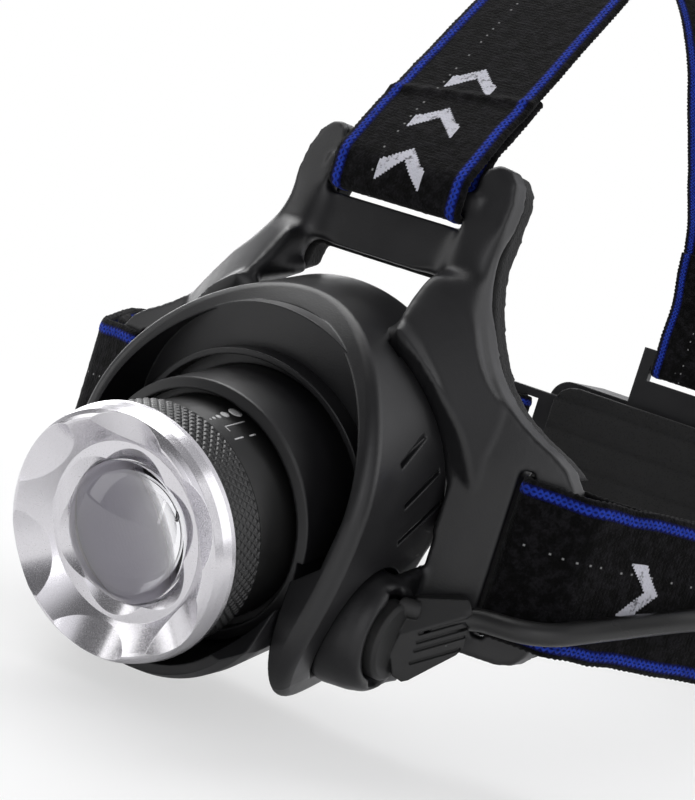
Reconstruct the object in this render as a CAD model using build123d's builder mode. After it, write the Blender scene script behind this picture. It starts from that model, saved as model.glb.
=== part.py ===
from build123d import *
import math
import os

os.makedirs("parts", exist_ok=True)

# ---------------------------------------------------------------- driving sizes (mm)
# frame: origin at the centre of the loop the straps make round the head,
# +Z up, the lamp looks along -Y, +X is the wearer's left

# webbing
strap_width = 28.0
strap_thick = 1.5
strap_gap = 0.3

# lamp unit: measured from the centre of the bezel's rear face, along the lamp's axis
lamp_y = -148.0
lamp_z = -11.0
rest_tilt = 13.0
hinge_back = 32.0
hinge_drop = 15.0

# zoom head
bezel_radius = 21.0
bezel_front = 5.7
crown_radius = 19.2
dish_radius = 14.7
ring_face = 1.3
lens_opening = 11.9
scallop_count = 6
scallop_phase = 28.0
scallop_radius = 12.0
scallop_slope = 27.0
scallop_out = 14.95
scallop_ahead = 15.24
lens_radius = 13.6
lens_dome_radius = 14.35
lens_top = 6.9
knurl_radius = 20.0
knurl_end = 8.0
sleeve_radius = 19.0
sleeve_bore = 16.9
sleeve_end = 30.5
zoom_travel = 8.0

# fits
slide_fit = 0.05
pivot_fit = 0.05
seat_gap = 0.05
side_gap = 0.3

# guide tube
tube_radius = 22.3
tube_front = 17.0
tube_end = 41.6
tube_flat = 21.2
lip_start = 20.0
lip_end = 27.0
tube_bore = 20.0

# hood
hood_radius = 29.5
hood_centre = 6.5
hood_wall = 3.0
lobe_face = 23.4
lobe_radius = 13.6
recess_radius = 11.4
groove_slant = 22.0
lip_round = 2.5

# hinge boss
boss_base = 10.8
boss_top = 8.9
boss_face = 32.5
pin_radius = 4.0
hub_pocket = 7.3
boot_turn = 39.7
fold_slope = 31.0

# bracket
plate_y = -108.1
plate_curve = 120.0
plate_lean = 0.241
lean_start = 15.0
plate_thick = 5.0
crossbar_low = 41.3
crossbar_high = 50.5
bar_low = 53.2
flare_start = 43.0
flare_grow = 13.0

# battery box
case_half = 42.0
case_height = 44.0
case_front = 100.0
case_depth = 22.0
cell_radius = 9.2
cell_length = 65.0
cable_radius = 2.0

# ---------------------------------------------------------------- shared frames
tilt = math.radians(rest_tilt)
lamp_centre = (0, lamp_y, lamp_z)
ahead = (0, -math.cos(tilt), -math.sin(tilt))
behind = (0, math.cos(tilt), math.sin(tilt))
above = (0, -math.sin(tilt), math.cos(tilt))
front = Plane(origin=lamp_centre, x_dir=(1, 0, 0), z_dir=ahead)
side = Plane(origin=lamp_centre, x_dir=behind, z_dir=(1, 0, 0))
top = Plane(origin=lamp_centre, x_dir=(1, 0, 0), z_dir=above)
lamp_axis = Axis(front.origin, front.z_dir)
hinge_y = lamp_y + hinge_back * math.cos(tilt) + hinge_drop * math.sin(tilt)
hinge_z = lamp_z + hinge_back * math.sin(tilt) - hinge_drop * math.cos(tilt)
hinge_axis = Axis((0, hinge_y, hinge_z), (1, 0, 0))
hinge_side = Plane(origin=(0, hinge_y, hinge_z), x_dir=(0, 1, 0), z_dir=(1, 0, 0))
hinge_top = Plane(origin=(0, hinge_y, hinge_z), x_dir=(1, 0, 0), z_dir=(0, 0, 1))


def turned(points, mode=Mode.ADD):
    """Solid turned about the lamp's axis; points are (distance back, radius)."""
    with BuildSketch(side) as outline:
        with BuildLine():
            Polyline(*points, close=True)
        make_face()
    revolve(outline.sketch, axis=lamp_axis, mode=mode)


def pivoted(points, mode=Mode.ADD):
    """Solid turned about the hinge line; points are (sideways, radius)."""
    with BuildSketch(hinge_top) as outline:
        with BuildLine():
            Polyline(*points, close=True)
        make_face()
    revolve(outline.sketch, axis=hinge_axis, mode=mode)


def hood_outline(plane, grow):
    """Face with the outline of the hood seen along the lamp's axis, grown outwards by grow."""
    r = hood_radius + grow
    with BuildSketch(plane) as outline:
        with BuildLine():
            ThreePointArc((r, hood_centre), (0, hood_centre + r), (-r, hood_centre))
            ThreePointArc((-r, hood_centre), (-28.1 - grow, -8), (-23.8 - grow, -23))
            Polyline(
                (-23.8 - grow, -23), (-20.5 - grow, -29.5), (20.5 + grow, -29.5), (23.8 + grow, -23),
            )
            ThreePointArc((23.8 + grow, -23), (28.1 + grow, -8), (r, hood_centre))
        make_face()
    return outline.sketch


def save(piece, name):
    piece.part.label = name
    export_step(piece.part, "parts/" + name + ".step")
    print(name, round(piece.part.volume, 1), len(piece.part.solids()))


# ================================================================ zoom head
with BuildPart(front) as bezel_ring:
    turned([
        (0, bezel_radius - 0.2), (-0.2, bezel_radius), (-1.2, bezel_radius), (-3.0, bezel_radius - 0.3),
        (-4.5, bezel_radius - 0.7), (-5.3, crown_radius + 0.5), (-bezel_front, crown_radius),
        (-bezel_front, crown_radius - 0.35), (-5.3, crown_radius - 0.75),
        (-ring_face, dish_radius), (-ring_face, lens_opening), (0.2, lens_opening),
        (0.2, lens_radius + 0.25), (6.0, lens_radius + 0.25), (6.0, 17.3), (0, 17.3),
    ])
    with Locations((0, 0, scallop_ahead)):
        with PolarLocations(scallop_out, scallop_count, start_angle=scallop_phase):
            Cylinder(
                radius=scallop_radius, height=40,
                rotation=(0, 90 - scallop_slope, 0), mode=Mode.SUBTRACT,
            )
save(bezel_ring, "bezel_ring")

dome_centre = lens_dome_radius - lens_top
dome_edge = dome_centre - math.sqrt(lens_dome_radius**2 - (lens_opening - 0.3) ** 2)
dome_mid = dome_centre - math.sqrt(lens_dome_radius**2 - 49.0)
with BuildPart() as focus_lens:
    with BuildSketch(side) as lens_outline:
        with BuildLine():
            ThreePointArc((dome_edge, lens_opening - 0.3), (dome_mid, 7.0), (-lens_top, 0))
            Polyline(
                (-lens_top, 0), (1.7, 0), (1.7, lens_radius), (0.25, lens_radius),
                (0.25, lens_opening - 0.3), (dome_edge, lens_opening - 0.3),
            )
        make_face()
    revolve(lens_outline.sketch, axis=lamp_axis)
save(focus_lens, "focus_lens")

with BuildPart() as lens_gasket:
    turned([(1.75, 12.3), (1.75, 13.7), (2.75, 13.7), (2.75, 12.3)])
save(lens_gasket, "lens_gasket")

with BuildPart(front) as lens_retainer:
    turned([(2.8, 12.2), (2.8, 13.8), (5.4, 13.8), (5.4, 12.2)])
    with Locations((0, 0, -5.4)):
        Box(2, 40, 2.4, mode=Mode.SUBTRACT)
save(lens_retainer, "lens_retainer")

groove_start = lip_end + 0.3
groove_end = groove_start + 1.1
with BuildPart() as zoom_sleeve:
    turned([
        (seat_gap, 17.35), (seat_gap, knurl_radius - 0.5), (0.55, knurl_radius),
        (knurl_end - 0.5, knurl_radius), (knurl_end, knurl_radius - 0.5),
        (knurl_end + 0.3, sleeve_radius), (groove_start, sleeve_radius),
        (groove_start, sleeve_radius - 0.7), (groove_end, sleeve_radius - 0.7),
        (groove_end, sleeve_radius), (sleeve_end, sleeve_radius), (sleeve_end, sleeve_bore),
        (6.3, sleeve_bore), (6.3, 17.35),
    ])
save(zoom_sleeve, "zoom_sleeve")

with BuildPart(front) as sleeve_stop_ring:
    turned([
        (groove_start + seat_gap, sleeve_radius - 0.65),
        (groove_start + seat_gap, tube_bore - 0.3),
        (groove_end - seat_gap, tube_bore - 0.3),
        (groove_end - seat_gap, sleeve_radius - 0.65),
    ])
    with Locations((0, 19, -groove_start)):
        Box(4, 6, 8, mode=Mode.SUBTRACT)
save(sleeve_stop_ring, "sleeve_stop_ring")

# ================================================================ lamp unit
with BuildPart(front) as front_tube:
    turned([
        (tube_front, 20.7), (tube_front + 0.5, tube_radius - 0.1), (tube_front + 0.9, tube_radius),
        (36.2, tube_radius), (36.2, 24.0), (38.2, 24.0), (38.2, tube_radius),
        (tube_end, tube_radius), (tube_end, tube_bore), (lip_end, tube_bore),
        (lip_end, sleeve_radius + slide_fit), (lip_start, sleeve_radius + slide_fit),
        (lip_start, 20.4), (tube_front, 20.4),
    ])
    for hand in (-1, 1):
        with Locations((hand * (tube_flat + 5), -17.8, -31)):
            Box(10, 32.2, 29, mode=Mode.SUBTRACT)
    for hand in (-1, 1):
        with Locations(Location((hand * 22, -hinge_drop, -hinge_back), (0, 90, 0))):
            Cylinder(radius=5.3, height=3.6, mode=Mode.SUBTRACT)
save(front_tube, "front_tube")

lobe_y = hinge_back
lobe_z = -hinge_drop
with BuildPart(front) as lamp_hood:
    extrude(hood_outline(front, 0), amount=-62)
    # side view: slanted lip that runs on into the round hinge lobe
    with BuildSketch(side) as lip_profile:
        with BuildLine():
            Spline(
                (60.0, 52.0), (44.5, 38.5), (38.0, 34.0), (29.5, 25.5), (23.0, 15.0), (19.0, 5.0),
                (15.0, -6.5), (13.2, -15.0), (15.4, -22.6), (21.5, -27.4), (30.0, -28.6), (39.4, -26.3),
                (44.6, -20.0), (45.6, -13.0), (48.5, -5.0), (52.0, -2.0),
            )
            Polyline((52.0, -2.0), (80.0, -2.0), (80.0, 52.0), (60.0, 52.0))
        make_face()
    extrude(lip_profile.sketch, amount=40, both=True, mode=Mode.INTERSECT)
    lip_edges = [
        edge for edge in lamp_hood.edges().filter_by(GeomType.BSPLINE)
        if abs(edge.center().X) > lip_round
    ]
    fillet(lip_edges, radius=lip_round)
    # rear edge along the bracket's wing, tongue at the top
    with BuildSketch(side) as rear_profile:
        with BuildLine():
            Polyline(
                (0, -40), (45.9, -40), (45.9, -13.2), (49.6, -5.0), (48.0, 5.6), (45.6, 18.0), (42.2, 29.5),
                (56.0, 29.5), (56.0, 60), (0, 60), close=True,
            )
        make_face()
    extrude(rear_profile.sketch, amount=40, both=True, mode=Mode.INTERSECT)
    with BuildSketch(front) as hood_hollow:
        with BuildLine():
            r = hood_radius - hood_wall
            ThreePointArc((r, hood_centre), (0, hood_centre + r), (-r, hood_centre))
            Polyline(
                (-r, hood_centre), (-25.8, -1.0), (-lobe_face + 1.9, -4.5), (-lobe_face + 1.9, -44),
                (lobe_face - 1.9, -44), (lobe_face - 1.9, -4.5), (25.8, -1.0), (r, hood_centre),
            )
        make_face()
    extrude(hood_hollow.sketch, amount=-70, mode=Mode.SUBTRACT)
    # web and screw posts that hold the guide tube
    with BuildSketch(front.offset(-33.0)) as web:
        with BuildLine():
            r = hood_radius - hood_wall + 0.4
            ThreePointArc((r, hood_centre), (0, hood_centre + r), (-r, hood_centre))
            Polyline((-r, hood_centre), (-26.2, -1.0), (26.2, -1.0), (r, hood_centre))
        make_face()
        Circle(tube_radius + seat_gap, mode=Mode.SUBTRACT)
    extrude(web.sketch, amount=-3.1)
    with Locations((15, 26, -38.9), (-15, 26, -38.9)):
        Cylinder(radius=3.0, height=5.6)
    with Locations((15, 26, -38.8), (-15, 26, -38.8)):
        Cylinder(radius=1.25, height=6.6, mode=Mode.SUBTRACT)
    # seats of the pivots inside, round recesses for the bracket's bosses outside
    for hand in (-1, 1):
        with Locations(Location((hand * 21.4, lobe_z, -lobe_y), (0, 90, 0))):
            Cylinder(radius=5.0, height=2.0)
        with Locations(Location((hand * (lobe_face + 8), lobe_z, -lobe_y), (0, 90, 0))):
            Cylinder(radius=recess_radius, height=16, mode=Mode.SUBTRACT)
        with Locations(Location((hand * 22, lobe_z, -lobe_y), (0, 90, 0))):
            Cylinder(radius=pin_radius + seat_gap, height=8, mode=Mode.SUBTRACT)
    # the hood's top runs back as a tongue between the wings
    with BuildSketch(top.offset(29.0)) as shoulders:
        for hand in (-1, 1):
            with BuildLine():
                Polyline(
                    (hand * 16.2, 41.6), (hand * 11.6, 58), (hand * 34, 58), (hand * 34, 41.6),
                    close=True,
                )
            make_face()
    extrude(shoulders.sketch, amount=14, mode=Mode.SUBTRACT)
    # three slanted grooves on each cheek
    for out, up, back, length in ((28.8, 16.2, 36.6, 9.4), (30.2, 9.4, 39.6, 11.6), (30.2, 3.0, 41.1, 13.4)):
        for hand in (-1, 1):
            with Locations(Location((hand * out, up, -back), (groove_slant, 0, 0))):
                Box(3.6, 1.1, length, mode=Mode.SUBTRACT)
save(lamp_hood, "lamp_hood")

with BuildPart() as barrel_collar:
    turned([(29.4, 24.5), (29.4, 25.6), (32.95, 25.6), (32.95, 24.5)])
    with BuildSketch(front) as upper:
        with Locations((0, 20.5)):
            Rectangle(70, 40)
    extrude(upper.sketch, amount=-40, mode=Mode.INTERSECT)
save(barrel_collar, "barrel_collar")

with BuildPart(front) as lower_cowl:
    turned([
        (4.6, 23.0), (4.3, 24.6), (6.5, 25.8), (10, 26.2), (41.4, 26.2), (41.4, 24.4),
        (35.9, 24.4), (35.9, 23.0),
    ])
    with BuildSketch(side) as cowl_side:
        with BuildLine():
            Polyline(
                (1, -30), (1, -19), (9, -13), (16.5, -6.0), (21, -4.6), (41.4, -4.6), (41.4, -30), close=True,
            )
        make_face()
    extrude(cowl_side.sketch, amount=lobe_face - 1.9 - side_gap, both=True, mode=Mode.INTERSECT)
    for hand in (-1, 1):
        with Locations(Location((hand * 22, lobe_z, -lobe_y), (0, 90, 0))):
            Cylinder(radius=5.3, height=4, mode=Mode.SUBTRACT)
save(lower_cowl, "lower_cowl")

with BuildPart(front) as heat_sink_core:
    turned([
        (15, 0), (15, 10.5), (19, 10.5), (19, 14.5), (22, 14.5), (22, 14.2), (24.5, 14.2),
        (24.5, 14.5), (39.6, 14.5), (39.6, tube_bore - 0.1), (41.5, tube_bore - 0.1),
        (41.5, 12.5), (36, 12.5), (36, 11.2), (28, 11.2), (28, 0),
    ])
    with Locations((5.8, 0, -18), (-5.8, 0, -18)):
        Cylinder(radius=0.85, height=7, mode=Mode.SUBTRACT)
    with Locations((0, 5.8, -21)):
        Cylinder(radius=1.2, height=16, mode=Mode.SUBTRACT)
save(heat_sink_core, "heat_sink_core")

with BuildPart() as core_guide_ring:
    turned([
        (22.05, 14.25), (22.05, sleeve_bore - slide_fit), (24.45, sleeve_bore - slide_fit),
        (24.45, 14.25),
    ])
save(core_guide_ring, "core_guide_ring")

with BuildPart(front) as led_board:
    turned([(13.5, 0), (13.5, 8.0), (14.95, 8.0), (14.95, 0)])
    with PolarLocations(8.0, 6, start_angle=30):
        with Locations((0, 0, -14)):
            Cylinder(radius=1.1, height=6, mode=Mode.SUBTRACT)
    with Locations((5.8, 0, -14), (-5.8, 0, -14)):
        Cylinder(radius=1.1, height=6, mode=Mode.SUBTRACT)
save(led_board, "led_board")

with BuildPart(front) as led_emitter:
    with Locations((0, 0, -13.1)):
        Box(5, 5, 0.7)
    with BuildSketch(side) as dome:
        with BuildLine():
            ThreePointArc((12.7, 2.1), (12.7 - 2.1 * math.sqrt(0.5), 2.1 * math.sqrt(0.5)), (10.6, 0))
            Polyline((10.6, 0), (12.9, 0), (12.9, 2.1), (12.7, 2.1))
        make_face()
    revolve(dome.sketch, axis=lamp_axis)
save(led_emitter, "led_emitter")

with BuildPart(front) as led_retainer:
    turned([(12.3, 4.0), (12.3, 7.8), (13.45, 7.8), (13.45, 4.0)])
    with Locations((5.8, 0, -13), (-5.8, 0, -13)):
        Cylinder(radius=1.1, height=4, mode=Mode.SUBTRACT)
save(led_retainer, "led_retainer")

for name, x in (("board_screw_left", 5.8), ("board_screw_right", -5.8)):
    with BuildPart(front) as board_screw:
        with Locations((x, 0, -11.75)):
            Cylinder(radius=1.8, height=1.0)
        with Locations((x, 0, -15.5)):
            Cylinder(radius=0.8, height=7.6)
    save(board_screw, name)

with BuildPart(front) as driver_board:
    turned([(36.05, 0), (36.05, 12.3), (37.4, 12.3), (37.4, 0)])
    with Locations((0, 4, -38.1)):
        Box(6, 4, 1.5)
    with Locations((-5, -4, -38.2)):
        Box(4, 5, 1.7)
    with Locations((5.5, -3.5, -38.4)):
        Cylinder(radius=2.2, height=2.1)
save(driver_board, "driver_board")

with BuildPart(front) as driver_coil:
    with Locations((0, -3, -33.9)):
        Cylinder(radius=4.2, height=4.2)
        Cylinder(radius=1.6, height=4.2, mode=Mode.SUBTRACT)
save(driver_coil, "driver_coil")

with BuildPart(front) as hood_back_cover:
    with BuildSketch(front.offset(-41.75)) as cover_face:
        with BuildLine():
            r = hood_radius - hood_wall - side_gap
            ThreePointArc((r, hood_centre), (0, hood_centre + r), (-r, hood_centre))
            Polyline(
                (-r, hood_centre), (-25.5, -0.8), (-tube_flat, -4.2), (-tube_flat, -12), (-14, -23),
                (14, -23), (tube_flat, -12), (tube_flat, -4.2), (25.5, -0.8), (r, hood_centre),
            )
        make_face()
    extrude(cover_face.sketch, amount=-2.0)
    with BuildSketch(front.offset(-38.25)) as spigot:
        Circle(25.2)
        Circle(tube_radius + 0.1, mode=Mode.SUBTRACT)
        with Locations((0, -25)):
            Rectangle(80, 50, mode=Mode.SUBTRACT)
        with Locations((15, 26), (-15, 26)):
            Circle(3.4, mode=Mode.SUBTRACT)
    extrude(spigot.sketch, amount=-3.6)
    for k in range(5):
        with Locations((0, 20 - 8 * k, -43.9)):
            Box(24, 2.0, 1.0)
    with Locations((15, 26, -42.7), (-15, 26, -42.7)):
        Cylinder(radius=1.6, height=6, mode=Mode.SUBTRACT)
save(hood_back_cover, "hood_back_cover")

for name, x in (("cover_screw_left", 15), ("cover_screw_right", -15)):
    with BuildPart(front) as cover_screw:
        with Locations((x, 26, -44.5)):
            Cylinder(radius=2.6, height=1.4)
        with Locations((x, 26, -40.8)):
            Cylinder(radius=1.15, height=6.4)
        with Locations((x, 26, -45.0)):
            Box(3.4, 0.7, 0.8, mode=Mode.SUBTRACT)
            Box(0.7, 3.4, 0.8, mode=Mode.SUBTRACT)
    save(cover_screw, name)

# ================================================================ hinge pieces
with BuildPart() as pivot_bush_left:
    pivoted([
        (lobe_face - 2.9, 2.4), (lobe_face - 2.9, pin_radius), (30.05, pin_radius), (30.05, 5.4),
        (30.9, 5.4), (30.9, 2.4),
    ])
save(pivot_bush_left, "pivot_bush_left")

with BuildPart() as pivot_pin_right:
    pivoted([
        (-lobe_face + 2.9, 0), (-lobe_face + 2.9, pin_radius), (-30.05, pin_radius), (-30.05, 5.4),
        (-31.0, 5.4), (-31.0, 0),
    ])
    with Locations((-31.0, hinge_y, hinge_z)):
        Box(1.0, 1.2, 8, mode=Mode.SUBTRACT)
save(pivot_pin_right, "pivot_pin_right")

with BuildPart() as pivot_cap_right:
    pivoted([
        (-31.3, 0), (-31.3, hub_pocket - 0.15), (-32.6, hub_pocket - 0.15), (-33.1, hub_pocket - 0.9),
        (-33.1, 3.2), (-32.7, 2.8), (-32.7, 0),
    ])
save(pivot_cap_right, "pivot_cap_right")

# ================================================================ bracket on the forehead
lean_length = math.sqrt(1 + plate_lean**2)


def plate_front(x, z):
    """Y of the bracket's front surface."""
    lean = max(z - lean_start, 0) * plate_lean
    return plate_y + plate_curve - math.sqrt(plate_curve**2 - x * x) + lean


def curved_slab(first, last):
    """Slab that follows the forehead, between two depths behind the bracket's front surface."""
    with BuildPart() as slab:
        with BuildSketch(Plane.XY.offset(lean_start)) as plan:
            with Locations((0, plate_y + plate_curve)):
                Circle(plate_curve - first)
                Circle(plate_curve - last, mode=Mode.SUBTRACT)
            with Locations((0, plate_y + 10)):
                Rectangle(130, 60, mode=Mode.INTERSECT)
        extrude(plan.sketch, amount=-60)
        extrude(plan.sketch, amount=70 * lean_length, dir=(0, plate_lean, 1))
    return slab.part


def arm_outline(plane, grow):
    """Both arms of the bracket seen from the front."""
    with BuildSketch(plane) as outline:
        with BuildLine():
            Polyline(
                (14.4, 41.3), (14.4, 60.8), (15.2, 62.4 + grow), (17.0, 63.4 + grow),
                (19.2 + grow, 62.9 + grow), (21.0 + grow, 60.8 + grow), (21.9 + grow, 57.5),
                (22.1 + grow, 52.0), (22.3 + grow, 47.0),
            )
            Spline(
                (22.3 + grow, 47.0), (24.3 + grow, 39.5), (28.0 + grow, 32.0), (33.2 + grow, 25.6 + grow),
                (39.0 + grow, 21.4 + grow), (44.6 + grow, 18.6 + grow),
            )
            Polyline(
                (44.6 + grow, 18.6 + grow), (47.4 + grow, 16.8 + grow), (49.4 + grow, 14.2 + grow),
                (50.4 + grow, 10.5), (50.8 + grow, 5.0), (50.8 + grow, -12.5), (50.2 + grow, -15.6),
                (48.6 + grow, -17.7 - grow), (46.0, -18.5 - grow), (32.6, -18.5 - grow), (30.2, -16.0),
                (30.2, -1.0), (26.6, 6.0), (24.4, 19.0), (17.5, 29.0), (14.4, 32.0), (14.4, 41.3),
            )
        make_face()
        mirror(about=Plane.YZ)
    return outline.sketch


far_plane = Plane.XZ.offset(140)
with BuildPart() as bracket_frame:
    extrude(arm_outline(far_plane, 0), amount=-80)
    with BuildSketch(far_plane) as crossbar:
        with Locations((0, (crossbar_low + crossbar_high) / 2)):
            Rectangle(32, crossbar_high - crossbar_low)
    extrude(crossbar.sketch, amount=-80)
    add(curved_slab(0, plate_thick), mode=Mode.INTERSECT)
    # the crossbar lies back between the arms
    with BuildSketch(Plane.YZ) as bar_relief:
        with BuildLine():
            z0 = crossbar_low - 3
            z1 = crossbar_high + 3
            Polyline(
                (plate_front(0, z0) - 4, z0), (plate_front(0, z0) + 2.3, z0), (plate_front(0, z1) + 2.3, z1),
                (plate_front(0, z1) - 4, z1), close=True,
            )
        make_face()
    extrude(bar_relief.sketch, amount=14.4, both=True, mode=Mode.SUBTRACT)
    # bar for the top strap
    bar_y = plate_front(0, 55) + 2.4
    with Locations((0, bar_y, bar_low + 2.0)):
        Box(32, 3.2, 4.0)
    # wings that reach forward round the hood, flared towards the arms
    with BuildPart() as wings:
        extrude(hood_outline(front, 2.9), amount=-64)
        with BuildPart() as flare:
            narrow = hood_outline(front.offset(-flare_start), 1.6)
            wide = hood_outline(front.offset(-60), flare_grow)
            loft([narrow, wide], ruled=True)
            extrude(arm_outline(far_plane, -0.4), amount=-80, mode=Mode.INTERSECT)
        add(flare.part)
        with BuildSketch(side) as wing_side:
            with BuildLine():
                Polyline(
                    (50.2, -5.0), (48.6, 5.6), (46.2, 18.0), (42.9, 28.9), (41.7, 32.0), (41.7, 42),
                    (59.5, 42), (58.0, 30.0), (56.0, 16.0), (54.5, -5.0), close=True,
                )
            make_face()
        extrude(wing_side.sketch, amount=40, both=True, mode=Mode.INTERSECT)
        with BuildSketch(top) as wing_plan:
            with BuildLine():
                Polyline(
                    (-16.8, 40), (-16.3, 42.6), (-12.3, 57.5), (-14, 62), (14, 62), (12.3, 57.5),
                    (16.3, 42.6), (16.8, 40), close=True,
                )
            make_face()
        extrude(wing_plan.sketch, amount=60, mode=Mode.SUBTRACT)
    add(wings.part)
    add(curved_slab(plate_thick, plate_thick + 30), mode=Mode.SUBTRACT)
    # webs from the wings down to the bosses
    for hand in (-1, 1):
        with BuildSketch(hinge_side.offset(hand * 29.95)) as web_side:
            with BuildLine():
                Polyline(
                    (-1, 9.4), (plate_y + 6 - hinge_y, 12), (plate_y + 9 - hinge_y, 0),
                    (plate_y + 7 - hinge_y, -0.1), (plate_y + 7 - hinge_y, -9), (-1, -9.4), close=True,
                )
            make_face()
        extrude(web_side.sketch, amount=1.05, both=True)
    # room for the hood's cheeks and for its tongue
    with BuildPart() as hood_room:
        extrude(hood_outline(front.offset(-20), 0.45), amount=-60)
        with BuildSketch(side) as room_side:
            with BuildLine():
                Polyline(
                    (20, -40), (20, 42), (80, 42), (80, 28.7), (42.8, 28.7), (46.1, 18.0), (48.5, 5.6),
                    (50.1, -5.0), (46.8, -12.0), (46.8, -40), close=True,
                )
            make_face()
        extrude(room_side.sketch, amount=45, both=True, mode=Mode.INTERSECT)
    add(hood_room.part, mode=Mode.SUBTRACT)
    extrude(hood_outline(front.offset(-20), -2.0), amount=-60, mode=Mode.SUBTRACT)
    pivoted([
        (23.7, pin_radius + pivot_fit), (23.7, boss_base - 0.4), (24.1, boss_base), (29.0, boss_base - 0.5),
        (31.2, boss_base - 1.1), (boss_face, boss_top), (boss_face, hub_pocket), (30.0, hub_pocket),
        (30.0, pin_radius + pivot_fit),
    ])
    pivoted([
        (-23.7, pin_radius + pivot_fit), (-23.7, boss_base - 0.4), (-24.1, boss_base),
        (-29.0, boss_base - 0.5), (-31.2, boss_base - 1.1), (-boss_face, boss_top),
        (-boss_face, hub_pocket), (-30.0, hub_pocket), (-30.0, pin_radius + pivot_fit),
    ])
    for hand in (-1, 1):
        with Locations(Location((hand * 28, hinge_y, hinge_z), (0, 90, 0))):
            Cylinder(radius=pin_radius + pivot_fit, height=12, mode=Mode.SUBTRACT)
        with Locations(Location((hand * 35, hinge_y, hinge_z), (0, 90, 0))):
            Cylinder(radius=hub_pocket, height=10, mode=Mode.SUBTRACT)
    # slots for the side straps
    for hand in (-1, 1):
        with Locations((hand * 41.9, plate_y + 8, 0)):
            Box(2.5, 40, strap_width + 1.4, mode=Mode.SUBTRACT)
    # notches in the left boss beside the knuckle and under the hub
    with Locations((33.0, hinge_y - 1.6, hinge_z + 7.2)):
        Box(3.4, 4.6, 3.0, mode=Mode.SUBTRACT)
    with Locations((33.0, hinge_y + 0.4, hinge_z - 7.6)):
        Box(3.4, 4.0, 1.8, mode=Mode.SUBTRACT)
save(bracket_frame, "bracket_frame")

with BuildPart() as forehead_pad:
    extrude(arm_outline(far_plane, -0.5), amount=-80)
    with BuildSketch(far_plane) as pad_bar:
        with Locations((0, 45.0)):
            Rectangle(34, 8.4)
    extrude(pad_bar.sketch, amount=-80)
    add(curved_slab(plate_thick + 0.2, plate_thick + 5.2), mode=Mode.INTERSECT)
    for hand in (-1, 1):
        with Locations((hand * 51.0, plate_y + 20, 0)):
            Box(28, 60, strap_width + 2.4, mode=Mode.SUBTRACT)
    extrude(hood_outline(front.offset(-20), 1.5), amount=-60, mode=Mode.SUBTRACT)
save(forehead_pad, "forehead_pad")

# ================================================================ cable boot and cable
cable_route = [
    (36.0, hinge_y + 4.0, hinge_z + 3.0), (41.5, hinge_y + 8.5, hinge_z + 7.3), (54.0, -103.5, -10.2),
    (69.9, -78.5, -2.0), (82.4, -55.8, 2.0), (82.1, 38.4, 2.0), (73.2, 77.1, 0.0), (62.0, 108.0, -9.0),
    (36.5, 108.0, -9.0),
]


def bend_radii(points, share, cap):
    """Radius at each inner corner that uses up a share of the shorter neighbouring run."""
    radii = []
    for a, b, c in zip(points, points[1:], points[2:]):
        u = Vector(*b) - Vector(*a)
        v = Vector(*c) - Vector(*b)
        half = math.radians(u.get_angle(v)) / 2
        radii.append(min(share * min(u.length, v.length) / math.tan(half), cap))
    return radii


cable_bends = bend_radii(cable_route, 0.45, 80)
print("cable bends", [round(r, 1) for r in cable_bends])
with BuildPart() as lamp_cable:
    with BuildLine() as cable_line:
        FilletPolyline(*cable_route, radius=cable_bends)
    with BuildSketch(Plane(origin=cable_line.line @ 0, z_dir=cable_line.line % 0)) as cable_end:
        Circle(cable_radius)
    sweep(cable_end.sketch, path=cable_line.line)
cable_length = cable_line.wire().length
print("cable length", round(cable_length, 1), "volume ratio",
      round(lamp_cable.part.volume / (cable_length * math.pi * cable_radius**2), 4))
save(lamp_cable, "lamp_cable")
with BuildPart() as boot_channel:
    with BuildSketch(Plane(origin=cable_line.line @ 0, z_dir=cable_line.line % 0)) as channel_end:
        Circle(cable_radius + 0.15)
    sweep(channel_end.sketch, path=cable_line.line)

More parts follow.
